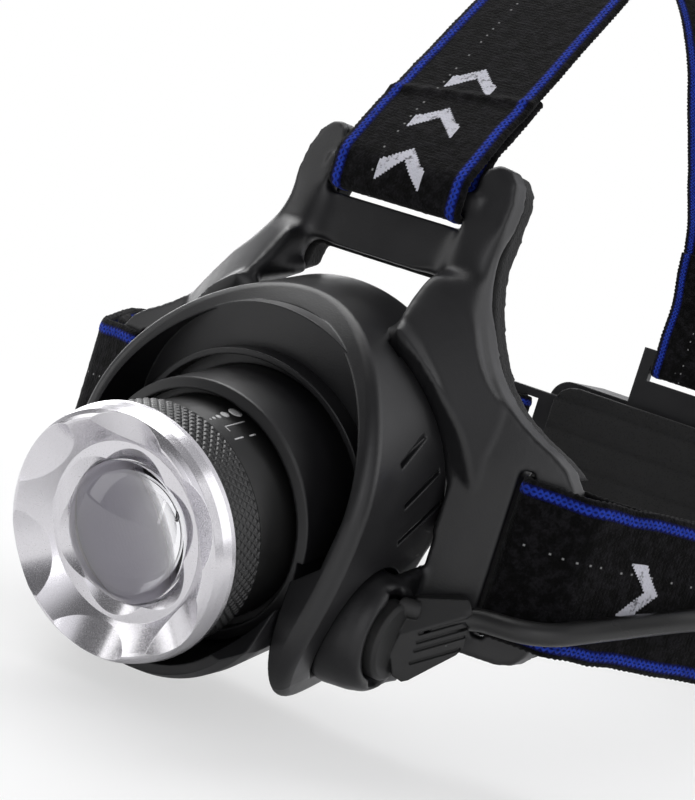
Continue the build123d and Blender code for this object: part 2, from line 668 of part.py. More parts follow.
# the boot's plate faces outwards and forwards; its upper part folds back
boot_out = math.radians(boot_turn)
boot_along = (math.cos(boot_out), math.sin(boot_out), 0)
boot_face = Plane(
    origin=(35.7, hinge_y + 0.45, hinge_z), x_dir=boot_along,
    z_dir=(math.sin(boot_out), -math.cos(boot_out), 0),
)
fold_turn = math.radians(fold_slope)
fold_edge = Plane(
    origin=boot_face.from_local_coords((0.7, 2.9, 0)),
    x_dir=(-math.sin(fold_turn) * boot_along[0], -math.sin(fold_turn) * boot_along[1], math.cos(fold_turn)),
    z_dir=(math.cos(fold_turn) * boot_along[0], math.cos(fold_turn) * boot_along[1], math.sin(fold_turn)),
)
with BuildPart() as cable_boot:
    with BuildSketch(boot_face) as boot_plate:
        with BuildLine():
            Polyline(
                (0.3, 7.9), (8.5, 10.1), (9.1, 9.2), (9.6, 5.9), (9.6, 2.2), (8.8, 0.8), (2.2, -5.4),
                (1.2, -5.9), (-0.6, -5.3), (-2.0, -2.0), (-1.4, 3.0), close=True,
            )
        make_face()
    extrude(boot_plate.sketch, amount=-5.0)
    with BuildSketch(fold_edge) as folded_back:
        with BuildLine():
            Polyline((0, 0), (14, -9.5), (14, 6), (0, 6), close=True)
        make_face()
    extrude(folded_back.sketch, amount=20, both=True, mode=Mode.SUBTRACT)
    with BuildSketch(boot_face) as boot_grooves:
        for along, up in ((5.4, 4.9), (5.5, 3.4), (5.5, 1.9), (5.4, -0.3)):
            with Locations((along, up)):
                Rectangle(9.0, 0.5, rotation=fold_slope)
    extrude(boot_grooves.sketch, amount=-0.5, mode=Mode.SUBTRACT)
    # knuckle beside the plate
    knuckle_start = boot_face.from_local_coords((-3.2, 6.1, -1.7))
    with BuildSketch(Plane(origin=knuckle_start, z_dir=boot_along)) as knuckle:
        Circle(1.65)
    extrude(knuckle.sketch, amount=3.9)
    with Locations((boss_face + 0.5 + 20, hinge_y, hinge_z)):
        Box(40, 60, 60, mode=Mode.INTERSECT)
    pivoted([
        (31.2, 2.6), (31.2, hub_pocket - 0.5), (33.6, hub_pocket - 0.5), (34.2, hub_pocket - 1.1),
        (34.2, 2.6),
    ])
    pivoted([(33.4, 0), (33.4, 3.0), (34.2, 3.0), (34.2, 0)])
    add(boot_channel.part, mode=Mode.SUBTRACT)
save(cable_boot, "cable_boot")

# ================================================================ straps
half_gap = strap_thick / 2 + strap_gap


def webbing(path, bends, plane, width):
    """Flat webbing: a path seen edge on, thickened and given its width."""
    with BuildLine() as middle:
        FilletPolyline(*path, radius=bends)
    with BuildSketch(plane.offset(-width / 2)) as edge_on:
        trace(middle.line, line_width=strap_thick)
    extrude(edge_on.sketch, amount=width)


side_path = [
    (65.9, -74.0), (58.8, -86.1), (51.6, -90.2), (41.95, -93.6), (41.95, -101.9), (54.3, -97.3),
    (79.0, -55.0), (79.0, 38.0), (70.0, 76.0), (56.5, 101.1), (47.45, 101.1), (47.45, 96.2),
    (56.8, 96.2), (59.0, 92.8), (64.2, 83.1),
]
side_bends = [4.0, 4.0, 1.6, 1.6, 6.0, 45.0, 80.0, 30.0, 4.0, 1.6, 1.6, 1.4, 8.0]
for name, hand in (("side_strap_left", 1), ("side_strap_right", -1)):
    with BuildPart() as side_strap:
        webbing([(hand * x, y) for x, y in side_path], side_bends, Plane.XY, strap_width)
    save(side_strap, name)

top_path = [
    (-79.9, 77.0), (-91.2, 64.9), (-93.3, 59.5), (-93.3, 52.15), (-98.9, 52.15), (-98.9, 58.5), (-93.5, 65.0),
    (-36.0, 126.0), (36.0, 126.0), (90.0, 72.0), (101.1, 46.0), (101.1, 31.4), (96.2, 31.4), (96.2, 51.5),
    (90.8, 65.8),
]
top_bends = [3.0, 5.0, 1.6, 1.6, 4.0, 8.0, 70.0, 70.0, 25.0, 8.0, 1.6, 1.6, 8.0]
with BuildPart() as top_strap:
    webbing(top_path, top_bends, Plane.YZ, strap_width)
save(top_strap, "top_strap")


def slider(place, inner):
    """Ladder slider: two rails, two outer bars and one middle bar behind the webbing."""
    reach = strap_width / 2 + 0.4
    with BuildPart() as frame:
        with Locations(place):
            with Locations((0, 0, reach + 1.3), (0, 0, -reach - 1.3)):
                Box(6.2, 22, 2.6)
            with Locations((2.05, 9.5, 0), (2.05, -9.5, 0)):
                Box(2.1, 3, 2 * reach + 1)
            with Locations((-inner, 0, 0)):
                Box(1.9, 4, 2 * reach + 1)
    return frame


strap_slider_right = slider(Location((-79.0, 6.0, 0), (0, 0, 180)), 2.05)
save(strap_slider_right, "strap_slider_right")
strap_slider_top = slider(Location((0, 4.0, 126.0), (0, -90, 0)), 2.05)
save(strap_slider_top, "strap_slider_top")

for name, y in (("cable_keeper_front", -20.0), ("cable_keeper_rear", 26.0)):
    with BuildPart() as keeper:
        with BuildSketch(Plane.XZ.offset(-y)) as band:
            with BuildLine():
                Polyline(
                    (77.0, -15.4), (80.6, -15.4), (85.6, -2.0), (85.6, 6.0), (80.6, 15.4),
                    (77.0, 15.4), close=True,
                )
            make_face()
            offset(amount=-0.9, mode=Mode.SUBTRACT)
        extrude(band.sketch, amount=8.0)
    save(keeper, name)

# ================================================================ battery box on the back of the head
body_back = case_front + case_depth
with BuildPart() as battery_case:
    with Locations((0, (case_front + body_back) / 2, 0)):
        Box(2 * case_half, case_depth, case_height)
    fillet(battery_case.edges().filter_by(Axis.Y), radius=6.0)
    with Locations((0, case_front - 1.35, 0)):
        Box(107, 2.7, 34)
        Box(36, 2.7, 76)
    with Locations((0, (case_front + body_back) / 2 + 1, 0)):
        Box(2 * case_half - 4, case_depth, case_height - 4, mode=Mode.SUBTRACT)
    # partition between the cells and the electronics bay, cradle under the cells
    with Locations((32.2, case_front + 6, 0)):
        Box(1.4, 14, case_height - 3)
    with Locations((32.2, case_front + 12, 14)):
        Box(3, 4, 5, mode=Mode.SUBTRACT)
    with Locations((-4, case_front + 0.6, 0)):
        Box(50, 1.4, 3)
    for hand in (-1, 1):
        with Locations((hand * 46.25, case_front, 0)):
            Box(4.5, 8, strap_width + 1.2, mode=Mode.SUBTRACT)
    with Locations((0, case_front, 31.4)):
        Box(strap_width + 1.2, 8, 4.4, mode=Mode.SUBTRACT)
    # openings for the button, indicator, cable gland and charging socket
    for y, z, r in ((109.5, 9.5, 4.3), (109.5, 1.0, 1.6), (108.0, -9.0, 3.05)):
        with Locations(Location((41, y, z), (0, 90, 0))):
            Cylinder(radius=r, height=6, mode=Mode.SUBTRACT)
    with Locations((36.6, 109, -21)):
        Box(4.6, 9.6, 4, mode=Mode.SUBTRACT)
    # door ears
    ear_y = body_back - 2.3
    ear_z = -case_height / 2 - 1.6
    with Locations((-29, ear_y, ear_z), (29, ear_y, ear_z)):
        Box(7, 5, 5)
    with Locations(Location((0, body_back - 1.8, -case_height / 2 - 2.2), (0, 90, 0))):
        Cylinder(radius=1.05, height=90, mode=Mode.SUBTRACT)
    # catch for the latch
    with Locations((0, body_back - 3.2, case_height / 2 + 0.4)):
        Box(14, 2.0, 1.4)
save(battery_case, "battery_case")

door_axis_y = body_back - 1.8
door_axis_z = -case_height / 2 - 2.2
with BuildPart() as battery_door:
    with Locations((0, body_back + 1.9, 0)):
        Box(2 * case_half, 3.2, case_height)
    fillet(battery_door.edges().filter_by(Axis.Y), radius=6.0)
    fillet(battery_door.faces().sort_by(Axis.Y)[-1].edges(), radius=1.4)
    for k in range(5):
        with Locations((0, body_back + 3.6, 12 - 6 * k)):
            Box(52, 1.2, 1.6)
    with Locations((0, body_back + 0.8, door_axis_z)):
        Box(50, 5.4, 4.1)
    with Locations((0, body_back + 1.9, door_axis_z + 1.0)):
        Box(50, 3.2, 4.0)
    with Locations(Location((0, door_axis_y, door_axis_z), (0, 90, 0))):
        Cylinder(radius=2.1, height=50)
        Cylinder(radius=1.06, height=60, mode=Mode.SUBTRACT)
save(battery_door, "battery_door")

with BuildPart() as door_pin:
    with Locations(Location((0, door_axis_y, door_axis_z), (0, 90, 0))):
        Cylinder(radius=1.0, height=68)
save(door_pin, "door_pin")

with BuildPart() as door_latch:
    with Locations((0, body_back - 0.3, case_height / 2 + 2.3)):
        Box(12, 10.2, 1.4)
    with Locations((0, body_back - 4.9, case_height / 2 + 1.5)):
        Box(12, 1.0, 1.9)
    with Locations((0, body_back + 4.6, case_height / 2 + 0.4)):
        Box(12, 2.0, 5.2)
save(door_latch, "door_latch")

with BuildPart() as case_gasket:
    with Locations((0, body_back - 0.8, 0)):
        Box(2 * case_half - 4.2, 1.4, case_height - 4.2)
        Box(2 * case_half - 7.0, 1.4, case_height - 7.0, mode=Mode.SUBTRACT)
save(case_gasket, "case_gasket")

cell_y = case_front + 11.0
for name, z, turn in (("cell_upper", 9.5, 90), ("cell_lower", -9.5, -90)):
    with BuildPart() as cell:
        with Locations(Location((-3.4, cell_y, z), (0, turn, 0))):
            Cylinder(radius=cell_radius, height=cell_length - 1.4)
            with Locations((0, 0, cell_length / 2)):
                Cylinder(radius=2.8, height=1.4)
    save(cell, name)

with BuildPart() as contact_plates:
    with Locations((30.9, cell_y, 9.5), (30.9, cell_y, -9.5)):
        Box(0.6, 9, 12)
    with Locations((30.9, cell_y - 5.2, 0)):
        Box(0.6, 1.6, 31)
save(contact_plates, "contact_plates")

with BuildPart() as contact_bridge:
    with Locations((-39.5, cell_y, 0)):
        Box(0.6, 10, 34)
    for z in (9.5, -9.5):
        for k in range(2):
            with Locations(Location((-38.8 + 0.9 * k, cell_y, z), (0, 90, 0))):
                Cylinder(radius=4.2 - 0.8 * k, height=1.0)
                Cylinder(radius=2.8 - 0.8 * k, height=1.0, mode=Mode.SUBTRACT)
save(contact_bridge, "contact_bridge")

with BuildPart() as switch_board:
    with Locations((34.4, 109.0, -1.0)):
        Box(1.2, 13, 34)
    with Locations((35.5, 112, 1.0)):
        Box(1.2, 2, 1.6)
save(switch_board, "switch_board")

with BuildPart() as switch_body:
    with Locations((36.2, 109.5, 9.5)):
        Box(2.3, 6, 6)
    with Locations(Location((37.5, 109.5, 9.5), (0, 90, 0))):
        Cylinder(radius=1.6, height=0.5)
save(switch_body, "switch_body")

with BuildPart() as power_button:
    with Locations(Location((39.3, 109.5, 9.5), (0, 90, 0))):
        Cylinder(radius=5.4, height=0.9)
    with Locations(Location((41.4, 109.5, 9.5), (0, 90, 0))):
        Cylinder(radius=4.0, height=4.6)
        Cylinder(radius=2.6, height=4.6, mode=Mode.SUBTRACT)
        Cylinder(radius=2.6, height=3.6)
save(power_button, "power_button")

with BuildPart() as indicator_window:
    with Locations(Location((41.0, 109.5, 1.0), (0, 90, 0))):
        Cylinder(radius=1.5, height=2.4)
save(indicator_window, "indicator_window")

with BuildPart() as charge_socket:
    with Locations((36.7, 109.0, -15.6)):
        Box(3.2, 9.0, 5.6)
        with Locations((0, 0, -1.4)):
            Box(1.8, 7.4, 4.0, mode=Mode.SUBTRACT)
save(charge_socket, "charge_socket")

with BuildPart() as charge_cover:
    with Locations((36.6, 109.0, -20.8)):
        Box(4.2, 9.2, 2.6)
    with Locations((36.6, 109.0, -22.65)):
        Box(6.4, 12.0, 1.1)
save(charge_cover, "charge_cover")

with BuildPart() as cable_gland:
    with Locations(Location((41.6, 108.0, -9.0), (0, 90, 0))):
        Cylinder(radius=3.0, height=5.2)
    with Locations(Location((44.4, 108.0, -9.0), (0, 90, 0))):
        Cylinder(radius=4.2, height=4.4)
    with Locations(Location((48.0, 108.0, -9.0), (0, 90, 0))):
        Cone(bottom_radius=3.6, top_radius=2.7, height=3.0)
    with Locations(Location((44.0, 108.0, -9.0), (0, 90, 0))):
        Cylinder(radius=cable_radius + 0.1, height=14, mode=Mode.SUBTRACT)
save(cable_gland, "cable_gland")

with BuildPart() as rear_pad:
    with Locations((0, case_front - 4.7, 0)):
        Box(76, 3.4, 42)
    fillet(rear_pad.edges().filter_by(Axis.Y), radius=6.0)
save(rear_pad, "rear_pad")
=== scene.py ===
import math

import bmesh
import bpy
import numpy as np
from mathutils import Matrix, Vector


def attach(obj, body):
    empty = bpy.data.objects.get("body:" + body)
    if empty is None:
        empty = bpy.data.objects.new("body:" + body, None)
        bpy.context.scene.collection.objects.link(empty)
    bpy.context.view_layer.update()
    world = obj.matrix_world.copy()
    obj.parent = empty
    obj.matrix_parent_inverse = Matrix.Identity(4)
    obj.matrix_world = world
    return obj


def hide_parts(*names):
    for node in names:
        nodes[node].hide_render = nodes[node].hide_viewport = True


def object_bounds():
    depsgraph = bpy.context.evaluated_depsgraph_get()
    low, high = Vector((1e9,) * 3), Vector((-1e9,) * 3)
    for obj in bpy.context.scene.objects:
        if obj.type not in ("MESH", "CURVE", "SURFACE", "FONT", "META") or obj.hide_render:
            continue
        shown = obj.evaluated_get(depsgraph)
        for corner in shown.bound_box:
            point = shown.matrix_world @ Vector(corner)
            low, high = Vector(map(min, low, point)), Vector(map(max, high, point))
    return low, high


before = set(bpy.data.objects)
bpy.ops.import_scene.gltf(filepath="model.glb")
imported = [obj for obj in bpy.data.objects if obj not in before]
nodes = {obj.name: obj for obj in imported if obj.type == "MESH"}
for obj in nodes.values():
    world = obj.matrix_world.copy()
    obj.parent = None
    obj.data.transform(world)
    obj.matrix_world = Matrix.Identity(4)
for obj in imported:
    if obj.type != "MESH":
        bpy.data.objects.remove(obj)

# The headlamp's finishes and soft parts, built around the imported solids.
# Metres. Origin at the centre of the headband, +Z up, the lamp faces -Y, +X is the wearer's left.

mm = 0.001
cad_low, cad_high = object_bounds()

# ---- the lamp's own frame
# A point of the lamp unit is given as (sideways, up, back) from the centre of the bezel's rear face.
rest_tilt = math.radians(13.0)
lamp_centre = np.array([0.0, -0.148, -0.011])
lamp_back = np.array([0.0, math.cos(rest_tilt), math.sin(rest_tilt)])
lamp_up = np.array([0.0, -math.sin(rest_tilt), math.cos(rest_tilt)])
sideways = np.array([1.0, 0.0, 0.0])
# The lamp tilts about a line along X at this place.
hinge_y, hinge_z = -0.113446, -0.018417


def in_lamp(x, up, back):
    """World points of lamp-frame coordinates: centre + x * sideways + up * lamp_up + back * lamp_back."""
    x, up, back = np.broadcast_arrays(x, up, back)
    return lamp_centre + x[..., None] * sideways + up[..., None] * lamp_up + back[..., None] * lamp_back


def round_lamp(radius, angle, back):
    """World points on circles about the lamp's axis; the angle is counted from the top towards +X."""
    return in_lamp(radius * np.sin(angle), radius * np.cos(angle), back)


# ---- meshes from arrays
def mesh_object(name, points, faces, uv=None, smooth=True):
    """Object from points, faces that all have the same number of corners, and corner UVs."""
    mesh = bpy.data.meshes.new(name)
    corners = faces.shape[1]
    mesh.vertices.add(len(points))
    mesh.vertices.foreach_set("co", np.ascontiguousarray(points, np.float32).ravel())
    mesh.loops.add(faces.size)
    mesh.loops.foreach_set("vertex_index", faces.astype(np.int32).ravel())
    mesh.polygons.add(len(faces))
    mesh.polygons.foreach_set("loop_start", np.arange(0, faces.size, corners, dtype=np.int32))
    mesh.polygons.foreach_set("loop_total", np.full(len(faces), corners, np.int32))
    if uv is not None:
        layer = mesh.uv_layers.new(name="lay")
        layer.data.foreach_set("uv", np.ascontiguousarray(uv, np.float32).ravel())
    mesh.polygons.foreach_set("use_smooth", np.full(len(faces), smooth))
    mesh.update(calc_edges=True)
    piece = bpy.data.objects.new(name, mesh)
    bpy.context.scene.collection.objects.link(piece)
    return piece


def grid_faces(rows, columns, closed_rows=False):
    """Quads of a grid of rows x columns points whose columns, and rows if closed, join round."""
    i = np.arange(rows if closed_rows else rows - 1)[:, None]
    j = np.arange(columns)[None, :]
    i2 = (i + 1) % rows
    j2 = (j + 1) % columns
    quads = np.stack([i * columns + j, i2 * columns + j, i2 * columns + j2, i * columns + j2], axis=-1)
    return quads.reshape(-1, 4)


def tidy_shell(piece, merge=True):
    """Turns every face outwards, after merging doubled points and dropping the faces that this closes up."""
    same_place = 1e-6
    work = bmesh.new()
    work.from_mesh(piece.data)
    if merge:
        bmesh.ops.remove_doubles(work, verts=work.verts, dist=same_place)
        bmesh.ops.dissolve_degenerate(work, edges=work.edges, dist=same_place * 0.1)
    bmesh.ops.recalc_face_normals(work, faces=work.faces)
    work.to_mesh(piece.data)
    work.free()
    piece.data.update()
    return piece


def wrapped(name, points, along, angle, closed_rows=False):
    """Piece from a grid of points whose columns go round an axis. Its UVs are (along, angle), and carry on
    past the seams by 1 and by a full turn."""
    u = np.broadcast_to(along, points.shape[:2])
    v = np.broadcast_to(angle, points.shape[:2])
    if closed_rows:
        u, v = np.concatenate([u, u[:1] + 1.0]), np.concatenate([v, v[:1]])
    u = np.concatenate([u, u[:, :1]], axis=1)
    v = np.concatenate([v, v[:, :1] + 2 * np.pi], axis=1)
    here, there = slice(0, -1), slice(1, None)
    corners = [(here, here), (there, here), (there, there), (here, there)]
    lay = np.stack([np.stack([u[c], v[c]], axis=-1) for c in corners], axis=2).reshape(-1, 2)
    faces = grid_faces(*points.shape[:2], closed_rows)
    return tidy_shell(mesh_object(name, points.reshape(-1, 3), faces, lay))


def read_points(mesh, field="co"):
    """The points of a mesh, or their normals, as rows of three."""
    values = np.empty(len(mesh.vertices) * 3, np.float32)
    mesh.vertices.foreach_get(field, values)
    return values.reshape(-1, 3)


def write_points(mesh, points):
    """Moves the points of a mesh to the given rows of three."""
    mesh.vertices.foreach_set("co", np.ascontiguousarray(points, np.float32).ravel())
    mesh.update()


def unit(rows):
    """Each row divided by its length."""
    return rows / np.linalg.norm(rows, axis=1, keepdims=True)


# ---- shader helpers
def feed(tree, socket, value):
    """Links a socket, or sets its plain value."""
    if isinstance(value, bpy.types.NodeSocket):
        tree.links.new(value, socket)
    else:
        socket.default_value = value


def put(tree, kind, settings=None, **inputs):
    """Adds a shader node; inputs are given by name, with underscores for spaces."""
    node = tree.nodes.new("ShaderNode" + kind)
    for key, value in (settings or {}).items():
        setattr(node, key, value)
    for key, value in inputs.items():
        feed(tree, node.inputs[key.replace("_", " ")], value)
    return node


def calc(tree, operation, *values):
    """One step of arithmetic."""
    node = tree.nodes.new("ShaderNodeMath")
    node.operation = operation
    for socket, value in zip(node.inputs, values):
        feed(tree, socket, value)
    return node.outputs[0]


def times(tree, first, second):
    """Product of two numbers."""
    return calc(tree, "MULTIPLY", first, second)


def vector_step(tree, operation, first, second):
    """One step of vector arithmetic; a dot product and a distance come out as a number."""
    node = tree.nodes.new("ShaderNodeVectorMath")
    node.operation = operation
    feed(tree, node.inputs[0], first)
    feed(tree, node.inputs["Scale" if operation == "SCALE" else 1], second)
    return node.outputs["Value" if operation in ("DOT_PRODUCT", "DISTANCE") else "Vector"]


def remap(tree, value, low, high, to_low=0.0, to_high=1.0):
    """Smooth step from one range to another."""
    node = put(tree, "MapRange", {"interpolation_type": "SMOOTHSTEP"}, Value=value, From_Min=low,
               From_Max=high, To_Min=to_low, To_Max=to_high)
    return node.outputs[0]


def mix_colour(tree, factor, first, second):
    """Goes from the first colour to the second as the factor goes from 0 to 1."""
    node = tree.nodes.new("ShaderNodeMix")
    node.data_type = "RGBA"
    feed(tree, node.inputs[0], factor)
    feed(tree, node.inputs[6], first)
    feed(tree, node.inputs[7], second)
    return node.outputs[2]


def mix_shader(tree, factor, first, second):
    """Goes from the first shader to the second as the factor goes from 0 to 1."""
    node = tree.nodes.new("ShaderNodeMixShader")
    for socket, value in zip(node.inputs, (factor, first, second)):
        feed(tree, socket, value)
    return node.outputs[0]


def tint(value, red, green, blue):
    """Colour of one tone, with each channel scaled."""
    return (value * red, value * green, value * blue, 1.0)


def grey(value, warm=0.0):
    """Neutral colour; warm tips it from blue towards red."""
    return tint(value, 1 + warm, 1, 1 - warm)


def new_group(name, inputs, outputs):
    """Node group with named sockets: inputs {name: (kind, default)}, outputs {name: kind}."""
    tree = bpy.data.node_groups.new(name, "ShaderNodeTree")
    for key, (kind, default) in inputs.items():
        socket = tree.interface.new_socket(key, in_out="INPUT", socket_type="NodeSocket" + kind)
        if default is not None:
            socket.default_value = default
    for key, kind in outputs.items():
        tree.interface.new_socket(key, in_out="OUTPUT", socket_type="NodeSocket" + kind)
    return tree, tree.nodes.new("NodeGroupInput").outputs, tree.nodes.new("NodeGroupOutput").inputs


def use_group(tree, group, **inputs):
    """Adds a node group; inputs are given by name. Returns its outputs."""
    node = tree.nodes.new("ShaderNodeGroup")
    node.node_tree = group
    for key, value in inputs.items():
        feed(tree, node.inputs[key.replace("_", " ")], value)
    return node.outputs


def new_material(name, **shader):
    """Principled material; returns the material, its tree, the shader and the Object coordinates."""
    material = bpy.data.materials.new(name)
    material.use_nodes = True
    tree = material.node_tree
    tree.nodes.clear()
    surface = tree.nodes.new("ShaderNodeBsdfPrincipled")
    out = tree.nodes.new("ShaderNodeOutputMaterial")
    tree.links.new(surface.outputs[0], out.inputs[0])
    for key, value in shader.items():
        surface.inputs[key.replace("_", " ")].default_value = value
    place = tree.nodes.new("ShaderNodeTexCoord").outputs["Object"]
    return material, tree, surface, place


def finish_surface(tree, surface, colour, height, strength, distance, roughness=None, normal=None):
    """Feeds a colour and a bump of the given height to the shader, and a roughness where there is one."""
    feed(tree, surface.inputs["Base Color"], colour)
    if roughness is not None:
        feed(tree, surface.inputs["Roughness"], roughness)
    bump = put(tree, "Bump", Strength=strength, Distance=distance, Height=height)
    if normal is not None:
        feed(tree, bump.inputs["Normal"], normal)
    feed(tree, surface.inputs["Normal"], bump.outputs[0])


# ---- shared effects
def make_grain():
    """Moulded or blasted grain: fine noise and a broad variation of tone."""
    tree, given, out = new_group(
        "grain", {"Place": ("Vector", None), "Size": ("Float", 0.0004)},
        {"Height": "Float", "Tone": "Float"},
    )
    scale = calc(tree, "DIVIDE", 1.0, given["Size"])
    fine = put(tree, "TexNoise", Vector=given["Place"], Scale=scale, Detail=2.0, Roughness=0.55)
    broad = put(tree, "TexNoise", Vector=given["Place"], Scale=70.0, Detail=3.0, Roughness=0.6)
    feed(tree, out["Height"], fine.outputs["Fac"])
    feed(tree, out["Tone"], broad.outputs["Fac"])
    return tree


def make_soft_edge():
    """Rounds the shading of sharp edges, and gives a mask of where they are."""
    tree, given, out = new_group(
        "soft edge", {"Radius": ("Float", 0.0004)}, {"Normal": "Vector", "Edge": "Float"},
    )
    rounded = put(tree, "Bevel", {"samples": 6}, Radius=given["Radius"]).outputs[0]
    plain = tree.nodes.new("ShaderNodeNewGeometry").outputs["Normal"]
    turn = vector_step(tree, "DOT_PRODUCT", rounded, plain)
    feed(tree, out["Edge"], remap(tree, turn, 0.985, 0.80))
    feed(tree, out["Normal"], rounded)
    return tree


def make_dust():
    """Sparse pale specks of lint."""
    tree, given, out = new_group(
        "dust", {"Place": ("Vector", None), "Size": ("Float", 0.0006), "Amount": ("Float", 0.1)},
        {"Mask": "Float"},
    )
    scale = calc(tree, "DIVIDE", 1.0, given["Size"])
    cells = put(tree, "TexVoronoi", {"feature": "F1"}, Vector=given["Place"], Scale=scale)
    speck = remap(tree, cells.outputs["Distance"], 0.22, 0.10)
    chosen = calc(tree, "LESS_THAN", cells.outputs["Color"], given["Amount"])
    feed(tree, out["Mask"], times(tree, speck, chosen))
    return tree


def make_turning():
    """Fine rings that a lathe tool leaves: sin(2 pi (radius + along) / pitch), broken up by noise. The
    radius is counted from the lamp's axis, and along from the lamp's centre."""
    tree, given, out = new_group(
        "turning", {"Place": ("Vector", None), "Pitch": ("Float", 0.0003)},
        {"Height": "Float", "Radius": "Float"},
    )
    axis = tuple(lamp_back)
    along = calc(tree, "SUBTRACT", vector_step(tree, "DOT_PRODUCT", given["Place"], axis),
                 float(lamp_centre @ lamp_back))
    on_axis = vector_step(tree, "SCALE", axis, along)
    from_centre = vector_step(tree, "SUBTRACT", given["Place"], tuple(lamp_centre))
    radius = vector_step(tree, "DISTANCE", from_centre, on_axis)
    phase = calc(tree, "DIVIDE", calc(tree, "ADD", radius, along), given["Pitch"])
    wave = calc(tree, "SINE", times(tree, phase, 2 * math.pi))
    broken = put(tree, "TexNoise", {"noise_dimensions": "1D"}, W=times(tree, phase, 0.37), Detail=2.0)
    feed(tree, out["Height"], times(tree, wave, broken.outputs["Fac"]))
    feed(tree, out["Radius"], radius)
    return tree


grain = make_grain()
soft_edge = make_soft_edge()
dust = make_dust()
turning = make_turning()


# ---- finishes
def moulded_plastic(name, tone=0.006, roughness=0.38, grain_size=0.00035, depth=0.10, edge=0.0005):
    """Dark moulded plastic: fine spark-eroded grain, edges that are worn a little paler and smoother."""
    material, tree, surface, place = new_material(name, Roughness=roughness, IOR=1.5)
    texture = use_group(tree, grain, Place=place, Size=grain_size)
    corner = use_group(tree, soft_edge, Radius=edge)
    lint = use_group(tree, dust, Place=place, Size=0.0011, Amount=0.035)
    body = mix_colour(tree, texture["Tone"], tint(tone, 0.86, 0.84, 0.98), tint(tone, 1.14, 1.12, 1.28))
    worn = mix_colour(tree, times(tree, corner["Edge"], 0.55), body, grey(tone * 2.6, -0.04))
    dusty = mix_colour(tree, times(tree, lint["Mask"], 0.16), worn, grey(0.35))
    patchy = remap(tree, texture["Tone"], 0.3, 0.7, roughness - 0.05, roughness + 0.05)
    rubbed = calc(tree, "SUBTRACT", patchy, times(tree, corner["Edge"], 0.10))
    finish_surface(tree, surface, dusty, texture["Height"], depth, 0.0002, rubbed, corner["Normal"])
    return material


def soft_rubber(name, tone=0.008, roughness=0.62, depth=0.16):
    """Rubber: no gloss to speak of, a matte bloom in patches."""
    material, tree, surface, place = new_material(name, Roughness=roughness, IOR=1.5)
    texture = use_group(tree, grain, Place=place, Size=0.0005)
    corner = use_group(tree, soft_edge, Radius=0.0005)
    lint = use_group(tree, dust, Place=place, Size=0.0008, Amount=0.08)
    body = mix_colour(tree, texture["Tone"], grey(tone * 0.8), grey(tone * 1.35))
    dusty = mix_colour(tree, times(tree, lint["Mask"], 0.25), body, grey(0.4))
    bloom = remap(tree, texture["Tone"], 0.3, 0.7, roughness - 0.07, roughness + 0.07)
    finish_surface(tree, surface, dusty, texture["Height"], depth, 0.0002, bloom, corner["Normal"])
    return material


def satin_alloy(name, roughness, pitch=0.00022, edge=0.0004):
    """Turned and finely blasted aluminium with bright chamfered edges."""
    tone = 0.70
    material, tree, surface, place = new_material(name, Metallic=1.0, Roughness=roughness)
    texture = use_group(tree, grain, Place=place, Size=0.00016)
    corner = use_group(tree, soft_edge, Radius=edge)
    rings = use_group(tree, turning, Place=place, Pitch=pitch)
    body = mix_colour(tree, texture["Tone"], tint(tone, 0.95, 0.93, 0.97), tint(tone, 1.03, 1.01, 1.05))
    bright = mix_colour(tree, corner["Edge"], body, grey(0.95, -0.004))
    grainy = remap(tree, texture["Height"], 0.35, 0.65, roughness - 0.05, roughness + 0.06)
    polished = calc(tree, "SUBTRACT", grainy, times(tree, corner["Edge"], 0.12))
    height = calc(tree, "ADD", times(tree, rings["Height"], 0.25), texture["Height"])
    finish_surface(tree, surface, bright, height, 0.05, 0.00006, polished, corner["Normal"])
    return material


def anodised_black(name, tone=0.007, roughness=0.35, edge=0.00025, bore=0.0):
    """Black anodised aluminium: satin, with the turning marks just showing, bare metal on worn edges, and a
    painted pale lilac reflection nearer the axis than bore, standing in for light seen in the bore through
    the lens."""
    material, tree, surface, place = new_material(name, Roughness=roughness, IOR=1.52)
    texture = use_group(tree, grain, Place=place, Size=0.00022)
    corner = use_group(tree, soft_edge, Radius=edge)
    rings = use_group(tree, turning, Place=place, Pitch=0.00035)
    wear = times(tree, corner["Edge"], remap(tree, texture["Tone"], 0.45, 0.62))
    body = mix_colour(tree, texture["Tone"], grey(tone * 0.85), grey(tone * 1.2))
    worn = mix_colour(tree, times(tree, wear, 0.5), body, grey(0.25))
    # painted reflection: inside the bore radius the metal is coloured pale lilac in place of light seen there
    # through the lens
    painted_bore_light = calc(tree, "LESS_THAN", rings["Radius"], bore)
    colour = mix_colour(tree, painted_bore_light, worn, (0.84, 0.81, 0.88, 1.0))
    grainy = remap(tree, texture["Height"], 0.3, 0.7, roughness - 0.04, roughness + 0.06)
    height = calc(tree, "ADD", times(tree, rings["Height"], 0.4), texture["Height"])
    finish_surface(tree, surface, colour, height, 0.10, 0.00006, grainy, corner["Normal"])
    return material


def bright_metal(name, colour, roughness):
    """Plated or drawn metal of small parts, with fine scratches."""
    material, tree, surface, place = new_material(name, Metallic=1.0, Roughness=roughness)
    texture = use_group(tree, grain, Place=place, Size=0.0003)
    darker = tuple(c * 0.8 for c in colour[:3]) + (1.0,)
    finish_surface(tree, surface, mix_colour(tree, texture["Tone"], darker, colour), texture["Height"],
                   0.08, 0.0001, remap(tree, texture["Height"], 0.3, 0.7, roughness - 0.06, roughness + 0.10))
    return material


def coloured_plastic(name, first, second, roughness, coat=0.0):
    """Coloured inner plastic with a slight change of tone."""
    material, tree, surface, place = new_material(name, Roughness=roughness, Coat_Weight=coat)
    texture = use_group(tree, grain, Place=place, Size=0.0005)
    finish_surface(tree, surface, mix_colour(tree, texture["Tone"], first, second), texture["Height"],
                   0.06, 0.0001, remap(tree, texture["Height"], 0.3, 0.7, roughness - 0.05, roughness + 0.08))
    return material


